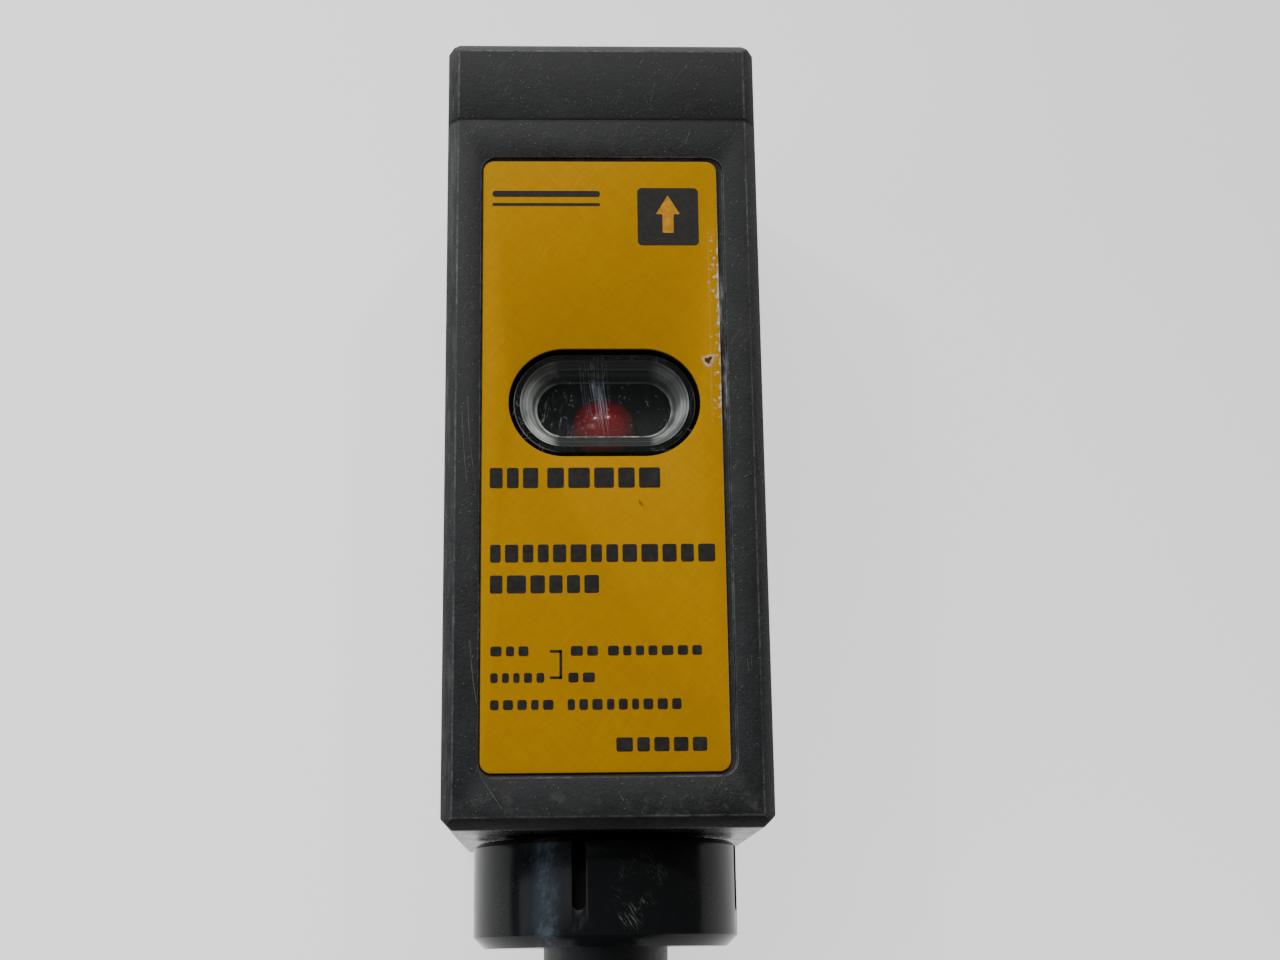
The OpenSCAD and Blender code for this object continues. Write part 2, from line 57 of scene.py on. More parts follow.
def linked(name, data):
    made = bpy.data.objects.new(name, data)
    bpy.context.scene.collection.objects.link(made)
    return made


# camera

cameraValues = {
    "place": (-2.6, -33.07, 137.94),  # mm
    "look": (0.0403, 0.245, -0.9687),
    "upHint": (0.0139, 1, 0),
    "lens": 53.44,
    "sensor": 36,
}


def makeCamera():
    look = Vector(cameraValues["look"]).normalized()
    right = look.cross(Vector(cameraValues["upHint"])).normalized()
    up = right.cross(look)
    data = bpy.data.cameras.new("camera")
    data.lens = cameraValues["lens"]
    data.sensor_width = cameraValues["sensor"]
    data.clip_start = 0.005
    camera = linked("camera", data)
    turn = Matrix((right, up, -look)).transposed().to_4x4()
    camera.matrix_world = Matrix.Translation(Vector(cameraValues["place"]) * mm) @ turn
    bpy.context.scene.camera = camera


makeCamera()
print("camera placed")


# helpers for meshes

def placed(piece, body="housing", slot=None, replaces=()):
    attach(piece, body)
    if replaces:
        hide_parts(*replaces)
    return piece


def meshOf(name, bm):
    mesh = bpy.data.meshes.new(name)
    bm.to_mesh(mesh)
    bm.free()
    return mesh


def newPiece(name, bm, *materials, **tags):
    # brings a finished shape from millimetres to metres and hands it to its body
    bmesh.ops.scale(bm, vec=(mm, mm, mm), verts=bm.verts)
    mesh = meshOf(name, bm)
    for material in materials:
        mesh.materials.append(material)
    mesh.shade_smooth()
    mesh.set_sharp_from_angle(angle=math.radians(32))
    return placed(linked(name, mesh), **tags)


def maskOf(bm, name):
    # a face attribute for the materials: edge is 1 on the small faces that round an edge
    layers = bm.faces.layers.float
    return layers.get(name) or layers.new(name)


def newMesh():
    bm = bmesh.new()
    maskOf(bm, "edge")
    return bm


def vertsIn(made, key="geom"):
    return [part for part in made[key] if isinstance(part, bmesh.types.BMVert)]


def turnBy(degrees, axis):
    return Matrix.Rotation(math.radians(degrees), 4, axis)


def softenEdges(bm, width, angle=35, segments=2, where=None, mark=1.0):
    # rounds the sharp edges, and marks the new faces for the wear in the materials
    sharp = []
    for edge in bm.edges:
        if len(edge.link_faces) == 2 and edge.calc_face_angle() > math.radians(angle):
            if where is None or where((edge.verts[0].co + edge.verts[1].co) / 2):
                sharp.append(edge)
    if not sharp:
        return
    made = bmesh.ops.bevel(bm, geom=sharp, offset=width, offset_type="OFFSET", affect="EDGES",
                           segments=segments, profile=0.5, clamp_overlap=True, material=-1)
    layer = maskOf(bm, "edge")
    for face in made["faces"]:
        face[layer] = mark


def turned(profile, steps=96, place=Matrix(), into=None):
    # spins a closed outline of (radius, height) points round Z, then puts it in place
    bm = newMesh() if into is None else into
    verts = [bm.verts.new((r, 0, z)) for r, z in profile]
    edges = [bm.edges.new((a, b)) for a, b in zip(verts, verts[1:])]
    if profile[0][0] > 0:
        edges.append(bm.edges.new((verts[-1], verts[0])))
    made = bmesh.ops.spin(bm, geom=verts + edges, cent=(0, 0, 0), axis=(0, 0, 1),
                          angle=2 * math.pi, steps=steps, use_merge=True)
    found = set(vertsIn(made, "geom_last")) | set(verts)
    todo = list(found)
    while todo:
        for edge in todo.pop().link_edges:
            for vert in edge.verts:
                if vert not in found:
                    found.add(vert)
                    todo.append(vert)
    found = list(found)
    bmesh.ops.transform(bm, matrix=place, verts=found)
    bmesh.ops.remove_doubles(bm, verts=found, dist=0.0005)
    bmesh.ops.recalc_face_normals(bm, faces=bm.faces)
    return bm


def onAxis(y, angle):
    # turns Z to lie along the body's long axis, from this y on
    return Matrix.Translation((0, y, midZ)) @ turnBy(angle, "X")


def roundedLoop(bm, width, height, radius, z, segments=48, centre=(0, 0), filled=False):
    # a circle whose quarters are moved apart; with radius = height / 2 it is a slot
    made = bmesh.ops.create_circle(bm, segments=segments, radius=radius, cap_ends=filled)
    bmesh.ops.rotate(bm, verts=made["verts"], matrix=Matrix.Rotation(math.pi / segments, 3, "Z"))
    for vert in made["verts"]:
        vert.co.x += math.copysign(width / 2 - radius, vert.co.x) + centre[0]
        vert.co.y += math.copysign(height / 2 - radius, vert.co.y) + centre[1]
        vert.co.z = z
    return made["verts"]


def edgesOf(verts):
    inside = set(verts)
    return list({e for v in verts for e in v.link_edges if e.other_vert(v) in inside})


def bridged(bm, loops):
    for low, high in zip(loops, loops[1:]):
        bmesh.ops.bridge_loops(bm, edges=edgesOf(low) + edgesOf(high))


def plate(bm, width, height, radius, low, high, centre=(0, 0), segments=48):
    # a flat plate with round corners
    bottom = roundedLoop(bm, width, height, radius, low, segments, centre, filled=True)
    top = roundedLoop(bm, width, height, radius, high, segments, centre, filled=True)
    bridged(bm, [bottom, top])
    return bottom + top


def copyOf(node):
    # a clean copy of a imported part's mesh, in millimetres
    bm = newMesh()
    bm.from_mesh(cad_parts[node].data)
    layer = maskOf(bm, "edge")
    for face in bm.faces:
        face[layer] = 0
    bmesh.ops.scale(bm, vec=(1 / mm,) * 3, verts=bm.verts)
    bmesh.ops.remove_doubles(bm, verts=bm.verts, dist=0.002)
    bmesh.ops.dissolve_limit(bm, angle_limit=math.radians(0.6), verts=bm.verts, edges=bm.edges,
                             use_dissolve_boundaries=False, delimit=set())
    return bm


def smoothPath(points, steps=8):
    # a curve through every point
    ends = [2 * points[0] - points[1], *points, 2 * points[-1] - points[-2]]
    line = []
    for a, b, c, d in zip(ends, ends[1:], ends[2:], ends[3:]):
        for k in range(steps):
            t = k / steps
            line.append(0.5 * (2 * b + (c - a) * t + (2 * a - 5 * b + 4 * c - d) * t ** 2
                               + (3 * b - a - 3 * c + d) * t ** 3))
    return line + [points[-1]]


def newCurve(name, lines, radius, material, resolution=5, **tags):
    # round cords along the lines, in millimetres
    data = bpy.data.curves.new(name, "CURVE")
    data.dimensions = "3D"
    data.bevel_depth = radius * mm
    data.bevel_resolution = resolution
    data.use_fill_caps = True
    for line in lines:
        spline = data.splines.new("POLY")
        spline.points.add(len(line) - 1)
        for point, place in zip(spline.points, line):
            point.co = (*(Vector(place) * mm), 1)
        spline.use_smooth = True
    data.materials.append(material)
    return placed(linked(name, data), **tags)


def eased(t):
    t = min(max(t, 0), 1)
    return t * t * (3 - 2 * t)


# helpers for materials

def isSocket(value):
    return isinstance(value, bpy.types.NodeSocket)


def fill(node, inputs):
    # links the sockets and sets the plain values
    for name, value in inputs.items():
        if isSocket(value):
            node.id_data.links.new(value, node.inputs[name])
        else:
            node.inputs[name].default_value = value
    return node.outputs


def treeOf(values):
    return next(value.id_data for value in values if isSocket(value))


def put(kind, inputs, **settings):
    # a new node in the tree that its inputs come from
    node = treeOf(inputs.values()).nodes.new("ShaderNode" + kind)
    for name, value in settings.items():
        setattr(node, name, value)
    return fill(node, inputs)


def reckon(operation, *values, clamp=False):
    # works from left to right through two values or more
    total = values[0]
    for value in values[1:] or (0.0,):
        total = put("Math", {0: total, 1: value}, operation=operation, use_clamp=clamp)[0]
    return total


def times(*values, clamp=False):
    return reckon("MULTIPLY", *values, clamp=clamp)


def plus(*values):
    return reckon("ADD", *values)


def minus(*values):
    return reckon("SUBTRACT", *values)


def larger(*values):
    return reckon("MAXIMUM", *values)


def ramp(value, low, high, start=0.0, end=1.0):
    # smooth step from start to end between low and high
    return put("MapRange", {"Value": value, "From Min": low, "From Max": high, "To Min": start,
                            "To Max": end}, interpolation_type="SMOOTHSTEP")["Result"]


def fade(value, span, start=0.0, end=1.0):
    # the same, between two places in millimetres
    return ramp(value, span[0] * mm, span[1] * mm, start, end)


def mixed(share, a, b):
    return put("Mix", {0: share, 6: a, 7: b}, data_type="RGBA")[2]


def noiseOf(vector, scale, detail=2.0, roughness=0.5):
    return put("TexNoise", {"Vector": vector, "Scale": scale, "Detail": detail,
                            "Roughness": roughness})["Fac"]


def distance(place, point):
    return put("VectorMath", {0: place, 1: point}, operation="DISTANCE")["Value"]


def turnedVector(vector, angle, stretch, across=1):
    # coordinates turned about Z and then drawn out along Y, for scratches and brushing
    return put("Mapping", {"Vector": vector, "Rotation": (0, 0, math.radians(angle)),
                           "Scale": (across, stretch, 1)}, vector_type="TEXTURE")["Vector"]


def toned(mask, dark, light, low=0.3, high=0.7):
    return mixed(ramp(mask, low, high), (*dark, 1), (*light, 1))


def axesOf(place):
    return put("SeparateXYZ", {"Vector": place})


def waves(vector, scale, distortion):
    # threads that run both ways
    return [put("TexWave", {"Vector": vector, "Scale": scale, "Distortion": distortion, "Detail": 1.0},
                bands_direction=way)["Fac"] for way in "XY"]


def attributeOf(place, name):
    node = place.id_data.nodes.new("ShaderNodeAttribute")
    node.attribute_name = name
    return node.outputs["Fac"]


def newGroup(name, build, **inputs):
    # an input whose value is None is a vector
    tree = bpy.data.node_groups.new(name, "ShaderNodeTree")
    for label, value in inputs.items():
        kind = "Vector" if value is None else "Float"
        socket = tree.interface.new_socket(name=label, in_out="INPUT", socket_type="NodeSocket" + kind)
        if value is not None:
            socket.default_value = value
    results = build(tree.nodes.new("NodeGroupInput").outputs)
    for label in results:
        tree.interface.new_socket(name=label, in_out="OUTPUT", socket_type="NodeSocketFloat")
    fill(tree.nodes.new("NodeGroupOutput"), results)
    return tree


def buildGrain(into):
    # moulded grain: soft mottling, fine pits and light specks
    fine = noiseOf(into["Vector"], into["Fine"], 3.0, 0.65)
    coarse = noiseOf(into["Vector"], into["Coarse"], 2.0)
    cells = put("TexVoronoi", {"Vector": into["Vector"], "Scale": into["Fine"]})
    glint = times(ramp(cells["Distance"], 0.3, 0.05),
                  ramp(put("SeparateColor", {0: cells["Color"]})[0], 0.86, 0.97))
    tone = plus(times(fine, 0.6), times(coarse, 0.4))
    return {"Tone": tone, "Specks": glint, "Height": fine}


def buildWear(into):
    # light, broken rubbing along the marked edges
    patchy = ramp(noiseOf(into["Vector"], into["Scale"], 4.0, 0.7), 0.36, 0.66, 0.22, 1.0)
    slow = ramp(noiseOf(into["Vector"], 180.0, 2.0), 0.3, 0.65, 0.35, 1.0)
    rubMarksAndSheen = times(times(patchy, slow), into["Edge"])
    return {"Wear": times(rubMarksAndSheen, into["Amount"], clamp=True)}


def buildDust(into):
    # thin film in patches, and single grains on it
    film = ramp(noiseOf(into["Vector"], 260.0, 4.0, 0.6), 0.5, 0.8, 0.0, 0.6)
    grains = ramp(noiseOf(into["Vector"], 5200.0, 1.0), 0.7, 0.78)
    return {"Dust": times(larger(film, grains), into["Amount"], clamp=True)}


def buildScuffs(into):
    # bundles of hair-thin scratches that lie one way, in patches
    hairs = ramp(noiseOf(into["Vector"], into["Scale"], 2.0, 0.6), 0.58, 0.7)
    patches = ramp(noiseOf(into["Place"], 330.0, 2.0), 0.46, 0.62)
    return {"Scuffs": times(times(hairs, patches), into["Amount"], clamp=True)}


grainGroup = newGroup("mouldGrain", buildGrain, Vector=None, Fine=6500.0, Coarse=900.0)
wearGroup = newGroup("edgeRub", buildWear, Vector=None, Edge=0.0, Amount=1.0, Scale=2200.0)
dustGroup = newGroup("shopDust", buildDust, Vector=None, Amount=0.5)
scuffGroup = newGroup("hairScuffs", buildScuffs, Vector=None, Place=None, Scale=900.0, Amount=1.0)


def useGroup(group, **inputs):
    node = treeOf(inputs.values()).nodes.new("ShaderNodeGroup")
    node.node_tree = group
    return fill(node, inputs)


def newMaterial(name, **constants):
    # gives the material and its Object coordinates
    material = bpy.data.materials.new(name)
    material.use_nodes = True
    fill(material.node_tree.nodes["Principled BSDF"], constants)
    return material, material.node_tree.nodes.new("ShaderNodeTexCoord").outputs["Object"]


def finished(material, colour, rough=None, bump=None, **others):
    # brings the colour, the roughness, a bump and any other maps to the shader
    maps = {"Base Color": colour, **others}
    if rough is not None:
        maps["Roughness"] = rough
    if bump is not None:
        height, strength, depth = bump
        maps["Normal"] = put("Bump", {"Height": height, "Strength": strength, "Distance": depth})["Normal"]
    fill(material.node_tree.nodes["Principled BSDF"], maps)
    return material


def worn(place, amount, scale=2200.0):
    edge = attributeOf(place, "edge")
    return useGroup(wearGroup, Vector=place, Edge=edge, Amount=amount, Scale=scale)["Wear"]


def dusted(place, amount):
    return useGroup(dustGroup, Vector=place, Amount=amount)["Dust"]


def hairsOf(place, angle, stretch, scale, amount):
    return useGroup(scuffGroup, Vector=turnedVector(place, angle, stretch), Place=place, Scale=scale,
                    Amount=amount)["Scuffs"]


# materials

windowLow, windowHigh = boxOf("window")
windowY = (windowLow.y + windowHigh.y) / 2
caseHigh = boxOf("case")[1]
seamY = caseHigh.y


caseMarks = {
    "grime": (-22.4, -24.7),  # y where the cable end gets dirty
    "rubMarksAndSheen": (-9.2, -9.5),  # x of the rubbed long chamfer
    # y span of the painted shade on the front chamfer
    "chamfer": (-24.75, -24.95),
    "polish": (-25.4, -25.48),
    "seam": (0.19, 0.11),
    # the bare ledge beside the label: its two ends in y, and its inner side in x
    "bareFrom": (-3.5, 1.5),
    "bareTo": (12, 6),
    "bareSide": (6.5, 7.3),
}
paleScratch = (0.16, 0.16, 0.155, 1)


def makeCasePlastic():
    # black glass-filled plastic with a spark-eroded grain
    v = caseMarks
    material, place = newMaterial("casePlastic", **{"IOR": 1.5, "Specular IOR Level": 0.26})
    grain = useGroup(grainGroup, Vector=place, Fine=7400.0, Coarse=520.0)
    axes = axesOf(place)
    grime = times(fade(axes["Y"], v["grime"]), ramp(noiseOf(place, 950.0, 4.0, 0.7), 0.5, 0.72, 0.0, 0.2))
    streaks = noiseOf(turnedVector(place, 0, 9), 2600.0, 3.0, 0.7)
    rubMarksAndSheen = times(fade(axes["X"], v["rubMarksAndSheen"]), ramp(streaks, 0.42, 0.7, 0.0, 0.22))
    tone = ramp(grain["Tone"], 0.32, 0.68)
    colour = mixed(tone, (0.004, 0.0045, 0.0052, 1), (0.0175, 0.0185, 0.02, 1))
    colour = mixed(times(grain["Specks"], 0.9), colour, (0.25, 0.25, 0.245, 1))
    colour = mixed(larger(dusted(place, 0.07), grime), colour, (0.2, 0.19, 0.165, 1))
    colour = mixed(larger(hairsOf(place, -28, 14, 9000.0, 0.16), rubMarksAndSheen), colour, paleScratch)
    colour = mixed(worn(place, 0.85, 1500.0), colour, (0.12, 0.12, 0.117, 1))
    # the ledge beside the label is bare and shiny where the foil has crept
    patches = ramp(noiseOf(turnedVector(place, 0, 5), 900.0, 3.0, 0.65), 0.4, 0.62)
    bare = times(attributeOf(place, "ledge"), patches, fade(axes["Y"], v["bareFrom"]),
                 fade(axes["Y"], v["bareTo"]), fade(axes["X"], v["bareSide"]))
    colour = mixed(bare, colour, (0.42, 0.43, 0.44, 1))
    # painted shade darkens the front chamfer, the seam is a dark line, and the cable end is polished by the
    # nut
    chamfer = fade(axes["Y"], v["chamfer"], 0.0, 0.75)
    seam = fade(reckon("ABSOLUTE", minus(axes["Y"], seamY * mm)), v["seam"])
    seamLineAndShade = larger(attributeOf(place, "seamLineAndShade"), chamfer, seam)
    colour = mixed(seamLineAndShade, colour, (0.0015, 0.0015, 0.0015, 1))
    rough = minus(ramp(grain["Tone"], 0.3, 0.75, 0.4, 0.62), fade(axes["Y"], v["polish"], 0.0, 0.26))
    return finished(material, colour, rough, (grain["Height"], 0.6, 0.00006))


nutMarks = {
    "band": -3.75,  # x of the painted reflection band along the nut
    "bandReach": (1.05, 0.1),
    "bandSide": (15, 17),  # z from where it shows
    # x, y, reach and strength of each scuffed spot on the label side
    "spots": [(1.4, -30.5, 0.95, 1.0), (2.45, -29.5, 0.6, 0.7), (3.1, -27.9, 0.9, 0.35),
              (2.5, -26.8, 0.7, 0.3), (0.9, -28.0, 0.5, 0.35)],
}


def makeNutPlastic():
    # smooth black nylon, scuffed where it was gripped
    v = nutMarks
    low, high = boxOf("gland_nut")
    material, place = newMaterial("nutPlastic", **{"IOR": 1.53, "Specular IOR Level": 0.12})
    marks = hairsOf(place, 52, 8, 11000.0, 0.3)
    # gripping marks: slanting hairs inside soft-edged spots
    slant = noiseOf(turnedVector(place, 36, 9), 12000.0, 2.0, 0.6)
    cloud = noiseOf(place, 2400.0, 4.0, 0.7)
    for x, y, reach, strength in v["spots"]:
        z = (low.z + high.z) / 2 + math.sqrt(high.x ** 2 - x ** 2)
        away = plus(distance(place, (x * mm, y * mm, z * mm)), times(cloud, 1.2 * mm))
        hairs = times(fade(away, (reach + 0.6, reach + 0.1)), ramp(slant, 0.5, 0.66, 0.0, strength))
        marks = larger(marks, hairs)
    axes = axesOf(place)
    # painted reflection: a soft bluish band along the nut, where the window light on the left would be
    # mirrored, broken up by noise
    off = reckon("ABSOLUTE", minus(axes["X"], v["band"] * mm))
    reflectionBand = times(fade(off, v["bandReach"]), fade(axes["Z"], v["bandSide"]))
    across = noiseOf(turnedVector(place, -30, 1.7), 2200.0, 6.0, 0.72)
    rubMarksAndSheen = times(reflectionBand, ramp(across, 0.4, 0.72))
    # painted shade inside the grooves, drawn near black
    seamLineAndShade = attributeOf(place, "seamLineAndShade")
    colour = mixed(times(marks, 0.8), (0.009, 0.0095, 0.0102, 1), (0.13, 0.13, 0.13, 1))
    for share, tint in ((times(reflectionBand, 0.17), (0.1, 0.13, 0.17, 1)),
                        (times(rubMarksAndSheen, 0.75), (0.1, 0.125, 0.15, 1)),
                        (dusted(place, 0.04), (0.2, 0.19, 0.17, 1)),
                        (worn(place, 0.4, 1500.0), (0.09, 0.09, 0.09, 1)),
                        (seamLineAndShade, (0.001, 0.001, 0.001, 1))):
        colour = mixed(share, colour, tint)
    haze = ramp(noiseOf(place, 420.0, 3.0), 0.45, 0.75, 0.14, 0.22)
    rough = plus(haze, times(larger(marks, rubMarksAndSheen), 0.3), times(seamLineAndShade, 0.5))
    return finished(material, colour, rough, (plus(noiseOf(place, 700.0, 3.0), marks), 0.1, 0.00004))


def makeRubber(name, colour, roughness=0.62, fine=3800.0):
    # matt rubber or vinyl with a faint bloom
    material, place = newMaterial(name, IOR=1.5)
    grain = useGroup(grainGroup, Vector=place, Fine=fine, Coarse=500.0)
    light = tuple(min(1, c * 1.7 + 0.004) for c in colour)
    tint = toned(grain["Tone"], colour, light)
    tint = mixed(larger(dusted(place, 0.12), worn(place, 0.3)), tint, (0.2, 0.19, 0.17, 1))
    rough = ramp(grain["Tone"], 0.25, 0.75, roughness - 0.1, roughness + 0.1)
    return finished(material, tint, rough, (grain["Height"], 0.25, 0.00005))


def makeMetal(name, colour, roughness, across=1):
    # plated or bright metal with fine turning or drawing marks
    material, place = newMaterial(name, Metallic=1.0)
    lines = noiseOf(turnedVector(place, 0, 1, across), 2600.0, 3.0, 0.6)
    dark = tuple(c * 0.72 for c in colour)
    tint = toned(lines, dark, colour)
    tint = mixed(dusted(place, 0.15), tint, (0.25, 0.23, 0.2, 1))
    return finished(material, tint, ramp(lines, 0.2, 0.8, roughness - 0.08, roughness + 0.12),
                    (lines, 0.2, 0.00002))


labelValues = {
    "amber": (0.482, 0.236, 0.0, 1),
    "amberDark": (0.445, 0.213, 0.0, 1),
    "silver": (0.5, 0.5, 0.48, 1),
    "edgeAt": 7.35,  # where the worn long edge lies
    "wornFrom": (-1.5, 1.5),
    "wornTo": (13, 10),
    "creaseAt": 6.72,  # a faint lighter line beside the worn edge
    "nick": (6.62, 3.55, 23.95),
    "nickSize": 0.32,
}


def makeLabelAmber():
    # amber printed foil, faintly brushed, rubbed through to the metal along one long edge
    v = labelValues
    material, place = newMaterial("labelAmber", **{"IOR": 1.46, "Specular IOR Level": 0.05})
    axes = axesOf(place)
    hatch = noiseOf(turnedVector(place, 48, 7), 5200.0, 2.0)
    cross = noiseOf(turnedVector(place, -44, 6), 4700.0, 2.0)
    brushed = plus(times(hatch, 0.5), times(cross, 0.5))
    colour = mixed(ramp(brushed, 0.38, 0.62), v["amberDark"], v["amber"])
    colour = mixed(ramp(noiseOf(place, 150.0, 2.0), 0.35, 0.7, 0.0, 0.35), colour, v["amberDark"])
    # small dark marks pressed into the face
    marks = ramp(noiseOf(turnedVector(place, 25, 2.5), 1500.0, 1.0), 0.8, 0.83)
    colour = mixed(times(marks, 0.6), colour, (0.14, 0.05, 0.002, 1))
    # the worn edge: its width wanders along the label
    along = times(fade(axes["Y"], v["wornFrom"]), fade(axes["Y"], v["wornTo"]))
    ragged = noiseOf(place, 1500.0, 4.0, 0.75)
    reach = times(ramp(ragged, 0.4, 0.75), along, 0.26 * mm)
    fromEdge = minus(v["edgeAt"] * mm, axes["X"])
    bare = fade(minus(fromEdge, reach), (0.05, -0.03))
    # flecks where the print is breaking up further in
    flecks = times(ramp(noiseOf(place, 4200.0, 2.0), 0.62, 0.7), fade(fromEdge, (0.9, 0.25)), along)
    # a knock beside the window with a raised rim
    size = v["nickSize"]
    away = plus(distance(place, tuple(c * mm for c in v["nick"])), times(minus(ragged, 0.5), 1.1 * mm))
    hole = fade(away, (size * 0.75, size * 0.35))
    rim = minus(fade(away, (size * 1.5, size)), hole)
    off = reckon("ABSOLUTE", minus(axes["X"], v["creaseAt"] * mm))
    crease = times(along, fade(off, (0.07, 0.02), 0.0, 0.22))
    colour = mixed(larger(hairsOf(place, -27, 16, 9500.0, 0.16), crease), colour, (0.62, 0.36, 0.08, 1))
    colour = mixed(larger(bare, flecks, times(rim, 0.5)), colour, v["silver"])
    colour = mixed(hole, colour, (0.06, 0.03, 0.012, 1))
    height = plus(times(brushed, 0.3), minus(rim, times(hole, 2.0)))
    return finished(material, colour, ramp(brushed, 0.3, 0.7, 0.5, 0.62), (height, 0.35, 0.00006),
                    Metallic=times(bare, 0.8))


def makeInk(name, colour):
    # screen-printed ink, slightly uneven
    material, place = newMaterial(name, **{"IOR": 1.5, "Specular IOR Level": 0.15})
    mottle = ramp(noiseOf(place, 2600.0, 3.0, 0.6), 0.35, 0.75)
    lighter = tuple(c * 1.5 + 0.004 for c in colour)
    return finished(material, mixed(mottle, (*colour, 1), (*lighter, 1)), ramp(mottle, 0.0, 1.0, 0.42, 0.56),
                    (mottle, 0.15, 0.00002))


def makeWindowClear():
    # clear moulded plastic with fine handling scratches
    material, place = newMaterial("windowClear", IOR=1.49)
    hairs = hairsOf(place, -12, 12, 12000.0, 1.0)
    return finished(material, mixed(hairs, (0.06, 0.063, 0.063, 1), (0.3, 0.32, 0.34, 1)),
                    ramp(hairs, 0.0, 1.0, 0.03, 0.3), (hairs, 0.3, 0.00002),
                    Alpha=ramp(hairs, 0.0, 1.0, 0.13, 0.28))


slopeValues = {
    "endsFrom": (2.7, 3.5),  # the slopes catch light where x is past this, at the round ends
    "bright": (0.62, 0.65, 0.62, 1),
    "dim": (0.035, 0.037, 0.035, 1),
    "lines": 2600.0,
    "rim": (-1.38, -1.5),  # from the window's top, in z
    "rimSide": (-1.0, -1.5),  # from its middle, in y
}


def makeWindowSlope():
    # the moulded slopes, drawn with painted reflections: silvery rings where they turn round the ends, dark
    # along the straights
    v = slopeValues
    material, place = newMaterial("windowSlope", IOR=1.49)
    axes = axesOf(place)
    side = reckon("ABSOLUTE", axes["X"])
    ends = fade(side, v["endsFrom"])
    below = minus(axes["Y"], windowY * mm)
    angle = reckon("ARCTAN2", below, minus(side, 2.5 * mm))
    facing = put("CombineXYZ", {"X": angle, "Y": reckon("SIGN", axes["X"]), "Z": times(axes["Z"], 900.0)})[0]
    facets = ramp(noiseOf(facing, 1.1, 2.0, 0.5), 0.36, 0.6, 0.35, 1.0)
    # painted reflection: brighter on the lower side and toward the left
    lower = ramp(angle, 1.1, -0.1, 0.3, 1.0)
    leftward = fade(axes["X"], (4, -4), 0.55, 1.0)
    rings = noiseOf(put("CombineXYZ", {"X": axes["Z"]})[0], v["lines"], 2.0, 0.7)
    shine = times(ends, facets, lower, leftward, ramp(rings, 0.36, 0.58, 0.3, 1.0), clamp=True)
    straights = times(minus(1.0, ends), ramp(rings, 0.5, 0.64, 0.0, 0.1))
    # painted highlight: the lower rim of the floor is a bright line
    top = windowHigh.z
    rim = fade(axes["Z"], [top + drop for drop in v["rim"]])
    glints = ramp(noiseOf(place, 1600.0, 2.0), 0.45, 0.65, 0.25, 0.9)
    shine = larger(times(rim, glints, fade(below, v["rimSide"])), shine, straights)
    return finished(material, mixed(shine, v["dim"], v["bright"]), ramp(rings, 0.3, 0.6, 0.3, 0.18),
                    (rings, 0.2, 0.00003), Alpha=ramp(shine, 0.0, 0.5, 0.93, 1.0))


def makeScratch(name, dim, bright):
    # the broken edge of a scratch, or lint, that catches the light
    material, place = newMaterial(name, IOR=1.45)
    lines = noiseOf(turnedVector(place, 0, 7), 1800.0, 3.0, 0.7)
    return finished(material, toned(lines, dim, bright, 0.35, 0.65), ramp(lines, 0.3, 0.7, 0.4, 0.6))


def makeEpoxy(name, colour, roughness, scatter):
    # dyed epoxy or moulded lens plastic
    material, place = newMaterial(name, **{"IOR": 1.52, "Subsurface Weight": scatter,
                                           "Subsurface Scale": 0.0008, "Coat Weight": 0.3})
    cloud = noiseOf(place, 900.0, 3.0)
    darker = tuple(c * 0.7 for c in colour)
    tint = toned(cloud, darker, colour)
    return finished(material, mixed(dusted(place, 0.06), tint, (0.3, 0.25, 0.22, 1)),
                    ramp(cloud, 0.25, 0.75, roughness, roughness + 0.12), (cloud, 0.05, 0.00003))


def makeBoardMask():
    # dark green solder mask over a woven glass board
    material, place = newMaterial("boardMask", **{"IOR": 1.5, "Coat Weight": 0.2})
    weave = times(*waves(place, 260.0, 1.0))
    return finished(material, mixed(weave, (0.004, 0.02, 0.012, 1), (0.008, 0.04, 0.022, 1)),
                    ramp(weave, 0.0, 1.0, 0.3, 0.42), (weave, 0.15, 0.00003))


def makeCeramic(name, colour, roughness):
    # fired ceramic or moulded chip bodies
    material, place = newMaterial(name, IOR=1.5)
    grain = useGroup(grainGroup, Vector=place, Fine=9000.0, Coarse=2400.0)
    lighter = tuple(min(1, c * 1.4 + 0.003) for c in colour)
    return finished(material, toned(grain["Tone"], colour, lighter),
                    ramp(grain["Tone"], 0.3, 0.7, roughness - 0.06, roughness + 0.08),
                    (grain["Height"], 0.2, 0.00003))


def makeWeave():
    # woven hook-and-loop strap: crossed threads on the strap's own UV map
    material, place = newMaterial("tieWeave", **{"IOR": 1.45, "Sheen Weight": 0.35, "Sheen Roughness": 0.5})
    node = material.node_tree.nodes.new("ShaderNodeUVMap")
    node.uv_map = "strap"
    uv = node.outputs["UV"]
    warp, weft = waves(uv, 1.0, 0.4)
    checks = put("TexChecker", {"Vector": uv, "Scale": 3.2})["Fac"]
    threads = plus(times(warp, checks), times(weft, minus(1.0, checks)))
    fuzz = noiseOf(place, 7000.0, 4.0, 0.8)
    tone = plus(times(threads, 0.7), times(fuzz, 0.3))
    return finished(material, mixed(tone, (0.004, 0.004, 0.005, 1), (0.035, 0.036, 0.04, 1)),
                    ramp(fuzz, 0.3, 0.7, 0.72, 0.92), (tone, 0.7, 0.0002))


